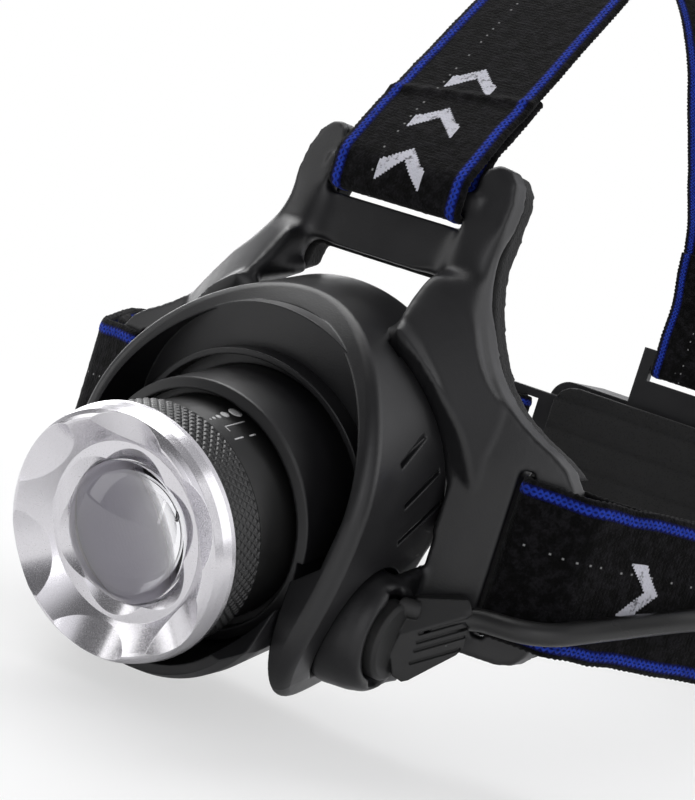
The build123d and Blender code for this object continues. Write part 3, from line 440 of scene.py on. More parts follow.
def clear_lens(name):
    """Polished optical acrylic that lets light through to what lies behind it; a faint haze of handling."""
    material, tree, surface, place = new_material(
        name, Base_Color=(0.97, 0.97, 1.0, 1.0), Roughness=0.015, IOR=1.49, Transmission_Weight=1.0,
    )
    texture = use_group(tree, grain, Place=place, Size=0.002)
    feed(tree, surface.inputs["Roughness"], remap(tree, texture["Tone"], 0.45, 0.75, 0.004, 0.03))
    shadow = tree.nodes.new("ShaderNodeLightPath").outputs["Is Shadow Ray"]
    passing = put(tree, "BsdfTransparent", Color=(0.95, 0.95, 0.97, 1.0))
    chosen = mix_shader(tree, shadow, surface.outputs[0], passing.outputs[0])
    feed(tree, tree.nodes["Material Output"].inputs[0], chosen)
    return material


plastic_housing = moulded_plastic("moulded housing plastic")
plastic_bracket = moulded_plastic("moulded bracket plastic", grain_size=0.0004, edge=0.0007)
plastic_slider = moulded_plastic("slider plastic", tone=0.007, roughness=0.30, depth=0.05, edge=0.0004)
rubber_black = soft_rubber("black rubber")
rubber_boot = soft_rubber("cable boot rubber", tone=0.009, roughness=0.52, depth=0.10)
rubber_button = soft_rubber("button rubber", tone=0.03, roughness=0.5)
alloy_bezel = satin_alloy("satin bezel alloy", 0.22, edge=0.00014)
alloy_core = satin_alloy("turned core alloy", 0.38, pitch=0.0004)
# its bore, inside 17.5 mm, is painted pale lilac as a painted reflection
black_sleeve = anodised_black("black anodised sleeve", bore=0.0175)
steel_screw = bright_metal("screw steel", grey(0.45), 0.32)
nickel_contact = bright_metal("nickel contact", (0.72, 0.70, 0.66, 1.0), 0.22)
copper_coil = bright_metal("enamelled copper", (0.55, 0.22, 0.09, 1.0), 0.3)
green_board = coloured_plastic("green solder mask", (0.01, 0.09, 0.035, 1.0), (0.015, 0.14, 0.05, 1.0),
                               0.3, 0.4)
white_board = coloured_plastic("white solder mask", grey(0.70), grey(0.78), 0.35)
nylon_inner = coloured_plastic("natural nylon", grey(0.55, 0.04), grey(0.62, 0.04), 0.45)
phosphor = coloured_plastic("phosphor dome", (0.85, 0.62, 0.08, 1.0), (0.9, 0.7, 0.12, 1.0), 0.2, 0.6)
blue_wrap = coloured_plastic("cell wrap", (0.01, 0.05, 0.25, 1.0), (0.02, 0.07, 0.32, 1.0), 0.22, 0.5)
milky_window = coloured_plastic("milky window", grey(0.55), grey(0.65), 0.2, 0.3)
lens_acrylic = clear_lens("clear lens acrylic")

finishes = {
    "bezel_ring lens_retainer": alloy_bezel,
    "focus_lens": lens_acrylic,
    "zoom_sleeve sleeve_stop_ring": black_sleeve,
    "heat_sink_core": alloy_core,
    "front_tube lamp_hood barrel_collar lower_cowl hood_back_cover": plastic_housing,
    "battery_case battery_door": plastic_housing,
    "bracket_frame pivot_cap_right": plastic_bracket,
    "strap_slider_right strap_slider_top door_latch": plastic_slider,
    "core_guide_ring led_retainer pivot_bush_left switch_body": nylon_inner,
    "board_screw_left board_screw_right cover_screw_left cover_screw_right": steel_screw,
    "pivot_pin_right door_pin": steel_screw,
    "contact_plates contact_bridge charge_socket": nickel_contact,
    "led_board": white_board,
    "led_emitter": phosphor,
    "driver_board switch_board": green_board,
    "driver_coil": copper_coil,
    "cell_upper cell_lower": blue_wrap,
    "cable_boot cable_gland": rubber_boot,
    "power_button": rubber_button,
    "indicator_window": milky_window,
    "lens_gasket case_gasket cable_keeper_front cable_keeper_rear charge_cover": rubber_black,
    "forehead_pad rear_pad lamp_cable side_strap_left side_strap_right top_strap": rubber_black,
}
for node_names, finish in finishes.items():
    for node_name in node_names.split():
        nodes[node_name].data.materials.clear()
        nodes[node_name].data.materials.append(finish)


# ---- knitted elastic webbing
strap_half = 0.0140        # half of the width
strap_body = 0.00135       # thickness between the chains
selvedge = 0.0007          # width over which the edge thins to a bead
chain_centre = 0.0121      # from the strap's middle to a chain of blue yarn
chain_half = 0.00105       # half of a chain's width
chain_pitch = 0.0021       # along the strap, from knot to knot
stitch_pitch = 0.0023      # along the strap, from pale stitch to pale stitch
arrow_stroke = 0.0034      # length along the strap of an arrow's stroke
arrow_repeat = 0.110       # from one group of arrows to the next
back_shift = 0.1           # added to the UV across the strap on its back


def bent_line(corners, radii, step):
    """Points a step apart along a polyline whose inner corners are the arcs tangent to both runs.
    An arc's points are centre + (sin((1-t)a) start + sin(t a) end) / sin(a) for t from 0 to 1."""
    corners = np.asarray(corners, float)
    radii = np.asarray(radii, float)[:, None]
    inner = corners[1:-1]
    back = unit(corners[:-2] - inner)
    on = unit(corners[2:] - inner)
    turn = np.pi - np.arccos(np.clip((back * on).sum(axis=1, keepdims=True), -1, 1))
    cut = radii * np.tan(turn / 2)
    first = inner + back * cut
    last = inner + on * cut
    centre = inner + unit(back + on) * radii / np.cos(turn / 2)
    t = np.linspace(0, 1, 25)[None, :, None]
    a = turn[:, None, :]
    arcs = centre[:, None] + (np.sin((1 - t) * a) * (first - centre)[:, None]
                              + np.sin(t * a) * (last - centre)[:, None]) / np.sin(a)
    line = np.concatenate([corners[:1], arcs.reshape(-1, corners.shape[1]), corners[-1:]])
    run = np.concatenate([[0], np.cumsum(np.linalg.norm(np.diff(line, axis=0), axis=1))])
    length = np.linspace(0, run[-1], int(round(run[-1] / step)) + 1)
    return np.stack([np.interp(length, run, line[:, k]) for k in range(line.shape[1])], axis=1), length


def webbing(name, corners, radii, outside, lift, across, seam=None):
    """Webbing along a path seen edge on. The section has m points on its face and m on its back: w is the
    mean of half width * sin(angle) and even steps, and the thickness thins to a bead at the selvedges and
    swells over the two chains. lift(p) gives the world point of a path point; across is the unit vector
    along the width. seam = (place along, slope) adds a rounded ridge where an end is turned in and sewn."""
    line, s = bent_line(corners, radii, 0.00055)
    tangent = unit(np.gradient(line, s, axis=0))
    normal = outside * np.stack([tangent[:, 1], -tangent[:, 0]], axis=1)
    n, m = len(s), 46
    w = strap_half * np.sin(np.linspace(-np.pi / 2, np.pi / 2, m))
    w = 0.5 * (w + np.linspace(-strap_half, strap_half, m))
    reach = np.abs(w)
    edge = np.clip((reach - (strap_half - selvedge)) / selvedge, 0, 1)
    body = strap_body * (1 - 0.62 * edge ** 2)
    over_chain = np.clip(1 - ((reach - chain_centre) / chain_half) ** 2, 0, 1)
    rng = np.random.default_rng(len(name))
    wander = np.interp(s, np.linspace(0, s[-1], 60), rng.normal(0, 0.00010, 60))
    knots = 0.5 + 0.5 * np.cos(2 * np.pi * s / chain_pitch)
    loops = rng.normal(0, 0.000035, (n, m))
    row_pitch, wale_pitch, bead_pitch = 0.0011, 0.0019, 0.0012
    rows = np.sin(2 * np.pi * s / row_pitch)[:, None]
    wales = np.sin(2 * np.pi * w / wale_pitch)[None, :]
    knit = 0.00002 * rows * wales + loops
    swell = over_chain[None, :] * (0.00016 + 0.00010 * knots[:, None])
    beads = 0.00013 * edge[None, :] * np.sin(2 * np.pi * s / bead_pitch - 1)[:, None]
    face_w = w[None, :] + np.sign(w)[None, :] * beads + wander[:, None]
    face_h = 0.5 * body[None, :] + 0.4 * swell + knit + 0.6 * swell
    if seam:
        place, slope = seam
        ridge_height, ridge_half, stitch = 0.00055, 0.0011, 0.0006
        lean = s[:, None] - place - slope * w[None, :] - 3 * wander[:, None]
        ridge = ridge_height * np.exp(-((lean / ridge_half) ** 2))
        face_h = face_h + ridge * (1 + 0.25 * np.sin(w / stitch))[None, :]
    back_h = -(0.5 * body[None, :] + knit)
    widths = np.concatenate([face_w, face_w[:, ::-1]], axis=1)
    heights = np.concatenate([face_h, back_h[:, ::-1]], axis=1)
    flat = line[:, None, :] + normal[:, None, :] * heights[:, :, None]
    points = lift(flat) + across * widths[:, :, None]
    columns = 2 * m
    around = grid_faces(n, columns)
    j = np.arange(m - 1)
    near = np.stack([j, j + 1, columns - 2 - j, columns - 1 - j], axis=1)
    far = near[:, ::-1] + (n - 1) * columns
    # the UV across is w on the face and back_shift + w on the back, and runs just past the edge between them
    brink = strap_half + 0.0001
    left = np.concatenate([w, w[::-1] + back_shift])
    right = np.concatenate([w[1:], [brink], w[::-1][1:] + back_shift, [back_shift - brink]])
    u = np.stack([s[:-1], s[1:], s[1:], s[:-1]], axis=1)[:, None, :].repeat(columns, axis=1)
    v = np.stack([left, left, right, right], axis=1)[None].repeat(n - 1, axis=0)
    sides = np.stack([u, v], axis=-1).reshape(-1, 2)
    cap_v = np.stack([w[:-1], w[1:], w[1:], w[:-1]], axis=1)
    caps = [np.stack([np.full_like(cap_v, end), cap_v], axis=-1).reshape(-1, 2) for end in (0.0, s[-1])]
    piece = mesh_object(name, points.reshape(-1, 3), np.concatenate([around, near, far]),
                        np.concatenate([sides] + caps))
    return tidy_shell(piece, merge=False)


def make_knit():
    """Looped knit: rows of small loops that lean in turn, broken up by noise; height and tone."""
    row_pitch, wale_pitch, sway = 0.00078, 0.00062, 0.00014
    tree, given, out = new_group(
        "knit", {"Along": ("Float", 0.0), "Across": ("Float", 0.0), "Place": ("Vector", None)},
        {"Height": "Float", "Tone": "Float"},
    )
    rows = calc(tree, "SINE", times(tree, given["Along"], 2 * math.pi / row_pitch))
    leaning = calc(tree, "ADD", given["Across"], times(tree, rows, sway))
    wales = calc(tree, "SINE", times(tree, leaning, 2 * math.pi / wale_pitch))
    fuzz = put(tree, "TexNoise", Vector=given["Place"], Scale=1700.0, Detail=3.0, Roughness=0.7)
    snags = put(tree, "TexNoise", Vector=given["Place"], Scale=520.0, Detail=2.0, Roughness=0.6)
    loops = times(tree, calc(tree, "ADD", rows, wales), 0.06)
    rough = calc(tree, "ADD", loops, times(tree, fuzz.outputs["Fac"], 1.3))
    feed(tree, out["Height"], calc(tree, "ADD", rough, times(tree, snags.outputs["Fac"], 0.8)))
    patches = remap(tree, snags.outputs["Fac"], 0.3, 0.7, 0.5, 1.2)
    feed(tree, out["Tone"], times(tree, fuzz.outputs["Fac"], patches))
    return tree


def make_chain():
    """Two interlaced yarns that cross in turn beside a centre line: mask and height."""
    tree, given, out = new_group(
        "chain", {"Along": ("Float", 0.0), "Off": ("Float", 0.0)}, {"Mask": "Float", "Height": "Float"},
    )
    turn = times(tree, given["Along"], 2 * math.pi / chain_pitch)
    swing = times(tree, calc(tree, "SINE", turn), 0.00046)
    first = calc(tree, "ABSOLUTE", calc(tree, "SUBTRACT", given["Off"], swing))
    second = calc(tree, "ABSOLUTE", calc(tree, "ADD", given["Off"], swing))
    yarn = remap(tree, calc(tree, "MINIMUM", first, second), 0.00012, 0.00046, 1.0, 0.0)
    fibres = times(tree, given["Along"], 1400.0)
    ragged = put(tree, "TexNoise", {"noise_dimensions": "1D"}, W=fibres, Detail=1.0)
    limit = times(tree, chain_half, remap(tree, ragged.outputs["Fac"], 0.3, 0.7, 0.82, 1.08))
    away = calc(tree, "SUBTRACT", calc(tree, "ABSOLUTE", given["Off"]), limit)
    feed(tree, out["Mask"], remap(tree, away, -0.00012, 0.00006, 1.0, 0.0))
    feed(tree, out["Height"], yarn)
    return tree


def make_chevrons():
    """Woven arrow marks: 0 < along + 0.95 |across| < stroke and |across| < half width, in woven steps."""
    step, slope, half_width = 0.00045, 0.95, 0.0046
    tree, given, out = new_group(
        "woven marks", {"Along": ("Float", 0.0), "Across": ("Float", 0.0)}, {"Mask": "Float"},
    )
    along = calc(tree, "SNAP", given["Along"], step)
    across = calc(tree, "ABSOLUTE", calc(tree, "SNAP", given["Across"], step))
    ahead = calc(tree, "ADD", along, times(tree, across, slope))
    low = calc(tree, "GREATER_THAN", ahead, 0.0)
    high = calc(tree, "LESS_THAN", ahead, arrow_stroke)
    inside = calc(tree, "LESS_THAN", across, half_width)
    feed(tree, out["Mask"], times(tree, times(tree, low, high), inside))
    return tree


knit = make_knit()
chain = make_chain()
chevrons = make_chevrons()


def webbing_cloth(name, marks, specks):
    """Black looped elastic with a blue chain near each selvedge and pale woven arrows on its face; marks are
    the arrows' places in a group, and specks the place across of a row of pale stitches."""
    material, tree, surface, place = new_material(
        name, Roughness=0.95, IOR=1.4, Specular_IOR_Level=0.15, Sheen_Weight=0.05, Sheen_Roughness=0.5,
    )
    lay = put(tree, "UVMap", {"uv_map": "lay"})
    along, sideways_lay, _ = put(tree, "SeparateXYZ", Vector=lay.outputs[0]).outputs
    on_back = calc(tree, "GREATER_THAN", sideways_lay, back_shift / 2)
    across = calc(tree, "SUBTRACT", sideways_lay, times(tree, on_back, back_shift))
    loops = use_group(tree, knit, Along=along, Across=across, Place=place)
    off = calc(tree, "SUBTRACT", calc(tree, "ABSOLUTE", across), chain_centre)
    blue = use_group(tree, chain, Along=along, Off=off)
    loop_tone = remap(tree, loops["Tone"], 0.25, 0.75)
    black = mix_colour(tree, loop_tone, grey(0.0012), (0.0095, 0.0090, 0.0105, 1.0))
    # short pale fibres that show between the loops
    flecks = put(tree, "TexVoronoi", Vector=place, Scale=900.0, Randomness=1.0)
    fleck = times(tree, remap(tree, flecks.outputs["Distance"], 0.24, 0.12),
                  calc(tree, "LESS_THAN", flecks.outputs["Color"], 0.03))
    black = mix_colour(tree, times(tree, fleck, 0.30), black, grey(0.22))
    # a broken row of pale stitches along the strap
    row = calc(tree, "ABSOLUTE", calc(tree, "SUBTRACT", across, specks))
    stitches = calc(tree, "DIVIDE", along, stitch_pitch)
    off_stitch = calc(tree, "ABSOLUTE", calc(tree, "SUBTRACT", calc(tree, "FRACT", stitches), 0.5))
    luck = put(tree, "TexWhiteNoise", {"noise_dimensions": "1D"}, W=calc(tree, "FLOOR", stitches))
    dot = times(tree, remap(tree, row, 0.00024, 0.00010), remap(tree, off_stitch, 0.12, 0.05))
    dot = times(tree, dot, calc(tree, "LESS_THAN", luck.outputs["Value"], 0.55))
    black = mix_colour(tree, times(tree, dot, 0.75), black, grey(0.34))
    # blue yarns of the chain, toned by the yarn's height as a painted highlight on the crests and painted
    # shade between the yarns, times the knit's random tone
    yarn_shade_and_tone = times(tree, blue["Height"], remap(tree, loops["Tone"], 0.15, 0.6, 0.55, 1.0))
    blue_yarn = mix_colour(tree, yarn_shade_and_tone, (0.003, 0.006, 0.08, 1.0), (0.018, 0.050, 0.42, 1.0))
    cloth = mix_colour(tree, blue["Mask"], black, blue_yarn)
    # pale arrows, on the face only
    arrows = None
    turned = calc(tree, "MODULO", along, arrow_repeat)
    for mark in marks:
        arrow = use_group(tree, chevrons, Along=calc(tree, "SUBTRACT", turned, mark), Across=across)["Mask"]
        arrows = arrow if arrows is None else calc(tree, "MAXIMUM", arrows, arrow)
    gaps = remap(tree, loops["Tone"], 0.20, 0.36, 0.25, 1.0)
    pale = times(tree, times(tree, arrows, gaps), calc(tree, "SUBTRACT", 1.0, on_back))
    cloth = mix_colour(tree, pale, cloth, (0.60, 0.60, 0.66, 1.0))
    chain_height = times(tree, times(tree, blue["Mask"], blue["Height"]), 1.4)
    height = calc(tree, "ADD", loops["Height"], chain_height)
    finish_surface(tree, surface, cloth, height, 0.85, 0.00022)
    return material


# Routes of the webbing seen edge on, in mm, with the radius of each bend between the runs.
side_route = [
    (65.9, -74.0), (58.8, -86.1), (51.6, -90.2), (41.95, -93.6), (41.95, -101.9), (54.3, -97.3),
    (79.0, -55.0), (79.0, 38.0), (70.0, 76.0), (56.5, 101.1), (47.45, 101.1), (47.45, 96.2),
    (56.8, 96.2), (59.0, 92.8), (64.2, 83.1),
]
side_bends = [4.0, 4.0, 1.6, 1.6, 6.0, 45.0, 80.0, 30.0, 4.0, 1.6, 1.6, 1.4, 8.0]
top_route = [
    (-79.9, 77.0), (-91.2, 64.9), (-93.3, 59.5), (-93.3, 52.15), (-98.9, 52.15), (-98.9, 58.5),
    (-93.5, 65.0), (-36.0, 126.0), (36.0, 126.0), (90.0, 72.0), (101.1, 46.0), (101.1, 31.4),
    (96.2, 31.4), (96.2, 51.5), (90.8, 65.8),
]
top_bends = [3.0, 5.0, 1.6, 1.6, 4.0, 8.0, 70.0, 70.0, 25.0, 8.0, 1.6, 1.6, 8.0]


def flat_in_xy(p):
    """Path points (x, y) as world points."""
    return np.stack([p[..., 0], p[..., 1], np.zeros_like(p[..., 0])], axis=-1)


def flat_in_yz(p):
    """Path points (y, z) as world points."""
    return np.stack([np.zeros_like(p[..., 0]), p[..., 0], p[..., 1]], axis=-1)


side_cloth = webbing_cloth("side webbing", (0.0667, 0.0827, 0.0987), 0.0030)
top_cloth = webbing_cloth("top webbing", (0.0405, 0.0530, 0.0660), -0.0052)
upright = np.array([0.0, 0.0, 1.0])
for hand, side_name in ((1, "left"), (-1, "right")):
    route = np.array(side_route) * mm * np.array([hand, 1])
    band = webbing("side_webbing_" + side_name, route, np.array(side_bends) * mm, hand, flat_in_xy, upright)
    band.data.materials.append(side_cloth)
    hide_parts("side_strap_" + side_name)
    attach(band, "head_frame")
band = webbing("top_webbing", np.array(top_route) * mm, np.array(top_bends) * mm, -1, flat_in_yz, sideways,
               (0.0605, 0.175))
band.data.materials.append(top_cloth)
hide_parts("top_strap")
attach(band, "head_frame")


# ---- knurled grip and printed scale on the sleeve
def knurled_grip():
    """Band cut with two crossing sets of V grooves: radius = floor + depth * the smaller of the two
    triangle waves of (turns * angle +- back / pitch), which leaves rows of diamonds. In mm."""
    columns, rows, turns, pitch = 1280, 48, 80, 1.85
    front, rear, inside, floor, depth = 0.45, 7.75, 19.9, 20.03, 0.19
    angle = np.linspace(0, 2 * np.pi, columns, endpoint=False)[None, :]
    back = np.linspace(front, rear, rows)[:, None]
    one = np.abs(((angle * turns / (2 * np.pi) + back / pitch) % 1) * 2 - 1)
    two = np.abs(((angle * turns / (2 * np.pi) - back / pitch) % 1) * 2 - 1)
    peak = np.clip(np.minimum(one, two) / 0.45, 0, 1)
    rim = np.clip(np.minimum(back - front, rear - back) / 0.35, 0, 1)
    outer = floor + depth * peak * rim
    radius = np.concatenate([outer, np.full((2, columns), inside)])
    reach = np.concatenate([np.broadcast_to(back, outer.shape), np.full((1, columns), rear),
                            np.full((1, columns), front)])
    row = np.linspace(0, 1, len(radius))[:, None]
    return wrapped("knurled_grip", round_lamp(radius * mm, angle, reach * mm), row, angle, closed_rows=True)


def printed_patch(name, centre_back, centre_angle, half_back, half_across, power):
    """Thin print on the sleeve, bounded by |a / half_back| ** power + |c / half_across| ** power = 1, with
    a along the axis and c round the sleeve; a flat lens in mm that stands 0.035 mm proud of the sleeve."""
    sleeve_radius = 19.0
    turn = np.linspace(0, 2 * np.pi, 48, endpoint=False)[None, :]
    size = np.array([0.0, 0.5, 1.0, 1.0, 0.5, 0.0])[:, None]
    height = np.array([19.035, 19.035, 19.025, 18.99, 18.98, 18.98])[:, None]
    across, along = np.sin(turn), np.cos(turn)
    reach = (np.abs(along) ** power + np.abs(across) ** power) ** (-1.0 / power)
    back = centre_back + half_back * size * reach * along
    angle = math.radians(centre_angle) + half_across * size * reach * across / sleeve_radius
    return wrapped(name, round_lamp(height * mm, angle, back * mm), size, turn)


def print_ink():
    """Pale pad-printed ink, thin in places."""
    material, tree, surface, place = new_material("printed ink", Roughness=0.5, IOR=1.45)
    texture = use_group(tree, grain, Place=place, Size=0.00012)
    feed(tree, surface.inputs["Base Color"],
         mix_colour(tree, remap(tree, texture["Height"], 0.30, 0.52), grey(0.16), grey(0.56)))
    return material


grip = knurled_grip()
grip.data.materials.append(anodised_black("knurled black anodising", 0.012, 0.30, 0.00010))
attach(grip, "zoom_head")

ink = print_ink()
# name, back and angle of the centre, half sizes along and round the sleeve, power of the outline
scale_marks = [
    ("dot_1", 10.75, 13.4, 0.20, 0.20, 2.0), ("dot_2", 11.75, 13.2, 0.32, 0.32, 2.0),
    ("dot_3", 13.05, 13.0, 0.50, 0.50, 2.0), ("dot_4", 14.85, 12.8, 0.78, 0.78, 2.0),
    ("dot_5", 17.55, 13.2, 1.20, 1.20, 2.0),
    ("line", 14.45, 20.6, 2.7, 0.11, 8.0), ("line_foot", 11.85, 22.3, 0.11, 0.62, 8.0),
    ("bar_1", 12.4, 29.2, 1.2, 0.15, 8.0), ("bar_2", 16.0, 29.6, 0.8, 0.15, 8.0),
]
for mark_name, *shape in scale_marks:
    mark = printed_patch("scale_" + mark_name, *shape)
    mark.data.materials.append(ink)
    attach(mark, "zoom_head")


# ---- softened mouldings
def softened(node_name, name, voxel, rounds, keep, more=None, more_rounds=0, swell=()):
    """Closed copy of a CAD node on an even lattice of faces, with its edges rounded: each round moves every
    point by 0.5 and then by -0.52 of the way to the mean of its neighbours, which rounds edges without
    shrinking the walls. No point ends further than keep from where it started. more(points) weighs the
    points that take more_rounds after that. swell lists (centre, half sizes) of bulges that are merged in."""
    draw_in, push_out = 0.5, -0.52
    source = nodes[node_name]
    mesh = source.data.copy()
    mesh.transform(source.matrix_world)
    piece = bpy.data.objects.new(name, mesh)
    bpy.context.scene.collection.objects.link(piece)
    tidy_shell(piece)
    if swell:
        work = bmesh.new()
        work.from_mesh(mesh)
        for centre, reach in swell:
            bmesh.ops.create_icosphere(work, subdivisions=3, radius=1.0,
                                       matrix=Matrix.Translation(centre) @ Matrix.Diagonal((*reach, 1.0)))
        work.to_mesh(mesh)
        work.free()
    lattice = piece.modifiers.new("lattice", "REMESH")
    lattice.mode = "VOXEL"
    lattice.voxel_size = voxel
    bpy.context.view_layer.update()
    even = bpy.data.meshes.new_from_object(piece.evaluated_get(bpy.context.evaluated_depsgraph_get()))
    piece.modifiers.clear()
    piece.data = even
    start = read_points(even).astype(float)
    count = len(start)
    ends = np.empty(len(even.edges) * 2, np.int32)
    even.edges.foreach_get("vertices", ends)
    a, b = ends.reshape(-1, 2).T
    joined = np.bincount(np.concatenate([a, b]), minlength=count)[:, None].clip(1)
    place = start.copy()
    weight = np.ones((count, 1)) if more is None else more(start)[:, None]
    steps = [(share, 1.0) for share in (draw_in, push_out) * rounds]
    steps += [(draw_in, weight)] * more_rounds
    for share, held in steps:
        pull = np.stack([np.bincount(a, place[b, k], count) + np.bincount(b, place[a, k], count)
                         for k in range(3)], axis=1)
        place += share * held * (pull / joined - place)
    shift = place - start
    far = np.linalg.norm(shift, axis=1, keepdims=True)
    even.polygons.foreach_set("use_smooth", np.ones(len(even.polygons), bool))
    even.materials.clear()
    write_points(even, start + shift * np.minimum(1, keep / far.clip(1e-9)))
    return piece


def open_bore(piece, y, z, least, radius):
    """Moves points whose distance from the axis (y, z) lies between least and radius out to radius, so that
    the bore stays round and clear of its pin."""
    place = read_points(piece.data)
    arm = place[:, 1:] - np.array([y, z], np.float32)
    far = np.linalg.norm(arm, axis=1, keepdims=True)
    inside = (far > least) & (far < radius)
    place[:, 1:] += np.where(inside, arm * (radius / far.clip(1e-9) - 1), 0)
    write_points(piece.data, place)


def wing_roots(p):
    """1 where the wings leave the arms of the bracket, falling to 0 over 6 mm; 1 in a smaller reach at the
    wings' inner corners. Both places are (|x|, z)."""
    arm_root, inner_corner = np.array([0.0185, 0.0425]), np.array([0.0150, 0.0275])
    side_on = np.abs(p[:, [0, 2]])
    away = np.linalg.norm(side_on - arm_root, axis=1)
    away = np.minimum(away, np.linalg.norm(side_on - inner_corner, axis=1) + 0.003)
    t = np.clip((0.0110 - away) / 0.006, 0, 1)
    return t * t * (3 - 2 * t)


# flat bulges that fill the gap between each wing's inner corner and the hood
bulges = [((hand * 0.0156, -0.1112, 0.0280), (0.0042, 0.0019, 0.0040)) for hand in (-1, 1)]
moulding = softened("bracket_frame", "bracket_moulding", 0.00052, 11, 0.0022, wing_roots, 60, bulges)
open_bore(moulding, hinge_y, hinge_z, 0.0031, 0.0044)
moulding.data.materials.append(plastic_bracket)
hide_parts("bracket_frame")
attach(moulding, "head_frame")


# ---- foam pads
def foam_rubber(name):
    """Closed-cell foam with a moulded skin: fine pores, painted darker inside as painted shade, and a dull
    bloom.
    """
    material, tree, surface, place = new_material(
        name, Roughness=0.82, IOR=1.4, Specular_IOR_Level=0.3, Sheen_Weight=0.10, Sheen_Roughness=0.5,
    )
    texture = use_group(tree, grain, Place=place, Size=0.0006)
    pores = put(tree, "TexVoronoi", Vector=place, Scale=1500.0)
    hollow = remap(tree, pores.outputs["Distance"], 0.10, 0.42)
    tone = mix_colour(tree, texture["Tone"], grey(0.011), grey(0.020))
    height = calc(tree, "ADD", times(tree, hollow, 0.6), texture["Height"])
    # painted shade: the pores are coloured darker than the skin around them
    finish_surface(tree, surface, mix_colour(tree, hollow, grey(0.006), tone), height, 0.5, 0.00025)
    return material


def pressed_channels(piece, pitch, depth, face):
    """Moves points along their normals by -depth * (0.5 + 0.5 cos(2 pi z / pitch)) ** 6 on the side that
    faces the head: shallow channels across the pad, between crowned ribs."""
    place, normal = read_points(piece.data), read_points(piece.data, "normal")
    towards = np.clip((normal[:, 1] * face - 0.72) / 0.2, 0, 1)
    channel = (0.5 + 0.5 * np.cos(2 * np.pi * place[:, 2] / pitch)) ** 6
    write_points(piece.data, place - normal * (depth * channel * towards)[:, None])


foam = foam_rubber("pad foam")
for node_name, name, face in (("forehead_pad", "forehead_foam", 1), ("rear_pad", "rear_foam", -1)):
    pad = softened(node_name, name, 0.0006, 26, 0.0016)
    pressed_channels(pad, 0.0085, 0.0007, face)
    pad.data.materials.append(foam)
    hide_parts(node_name)
    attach(pad, "head_frame")


# ---- cable
def cable_jacket(name, corners, radii, radius):
    """Round jacket along the route; the section's two axes are the world's up made square to the route and
    its cross product with it. Each end is domed over its last 1.6 mm by shrinking the rows."""
    columns, dome = 32, 0.0016
    line, s = bent_line(corners, radii, 0.0008)
    tangent = unit(np.gradient(line, s, axis=0))
    first = unit(np.array([0.0, 0.0, 1.0]) - tangent * tangent[:, 2:])
    second = np.cross(tangent, first)
    angle = np.linspace(0, 2 * np.pi, columns, endpoint=False)
    t = np.clip(np.minimum(s, s[-1] - s) / dome, 0, 1)
    size = radius * np.sqrt(np.clip(1 - (1 - t) ** 2, 0, 1))[:, None, None]
    ring = np.cos(angle)[None, :, None] * first[:, None] + np.sin(angle)[None, :, None] * second[:, None]
    return wrapped(name, line[:, None] + size * ring, s[:, None], angle)


def cable_skin(name):
    """Extruded jacket: satin, with faint draw lines along it and dull finger marks."""
    material, tree, surface, place = new_material(name, Roughness=0.34, IOR=1.5)
    lay = put(tree, "UVMap", {"uv_map": "lay"})
    round_it = put(tree, "SeparateXYZ", Vector=lay.outputs[0]).outputs[1]
    texture = use_group(tree, grain, Place=place, Size=0.0005)
    lines = put(tree, "TexNoise", {"noise_dimensions": "1D"}, W=times(tree, round_it, 9.0))
    colour = mix_colour(tree, texture["Tone"], grey(0.008), grey(0.013))
    height = calc(tree, "ADD", lines.outputs["Fac"], times(tree, texture["Height"], 0.3))
    finish_surface(tree, surface, colour, height, 0.12, 0.0003,
                   remap(tree, texture["Tone"], 0.35, 0.65, 0.26, 0.42))
    return material


cable_route = np.array([
    (0.0360, hinge_y + 0.0040, hinge_z + 0.0030), (0.0415, hinge_y + 0.0085, hinge_z + 0.0073),
    (0.0540, -0.1035, -0.0102), (0.0699, -0.0785, -0.0020), (0.0824, -0.0558, 0.0020),
    (0.0821, 0.0384, 0.0020), (0.0732, 0.0771, 0.0), (0.0620, 0.1080, -0.0090), (0.0365, 0.1080, -0.0090),
])
cable_bends = np.array([10.0, 11.8, 80.0, 43.7, 80.0, 80.0, 16.1]) * mm
cable = cable_jacket("cable_jacket", cable_route, cable_bends, 0.0020)
cable.data.materials.append(cable_skin("cable jacket"))
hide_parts("lamp_cable")
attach(cable, "head_frame")


# ---- camera, light and floor
def aim_camera():
    """A 36 mm camera with an 81 mm lens, low in front of the lamp and to its left."""
    eye = Vector((0.158219, -0.381644, 0.044799))
    right = Vector((0.8258, 0.4791, 0.2976))
    upward = Vector((-0.3001, -0.0734, 0.9511))
    backward = Vector((0.4775, -0.8747, 0.0831))
    data = bpy.data.cameras.new("camera")
    camera = bpy.data.objects.new("camera", data)
    bpy.context.scene.collection.objects.link(camera)
    turn = Matrix((right, upward, backward)).transposed()
    camera.matrix_world = Matrix.Translation(eye) @ turn.to_4x4()
    data.sensor_width = 36.0
    data.lens = 81.0
    data.shift_x = -0.00626
    data.shift_y = -0.01615
    data.clip_start = 0.01
    data.clip_end = 20.0
    bpy.context.scene.camera = camera


def softbox(name, place, target, width, height, power):
    """White rectangular light that faces the target."""
    light = bpy.data.lights.new(name, "AREA")
    light.shape = "RECTANGLE"
    light.size = width
    light.size_y = height
    light.energy = power
    lamp = bpy.data.objects.new(name, light)
    lamp.location = place
    lamp.rotation_mode = "QUATERNION"
    lamp.rotation_quaternion = (Vector(target) - Vector(place)).to_track_quat("-Z", "Y")
    bpy.context.scene.collection.objects.link(lamp)


def ray_kinds(tree):
    """The kinds of ray, and whether a ray is seen straight or through the lens."""
    rays = tree.nodes.new("ShaderNodeLightPath").outputs
    return rays, calc(tree, "MAXIMUM", rays["Is Camera Ray"], rays["Is Transmission Ray"])


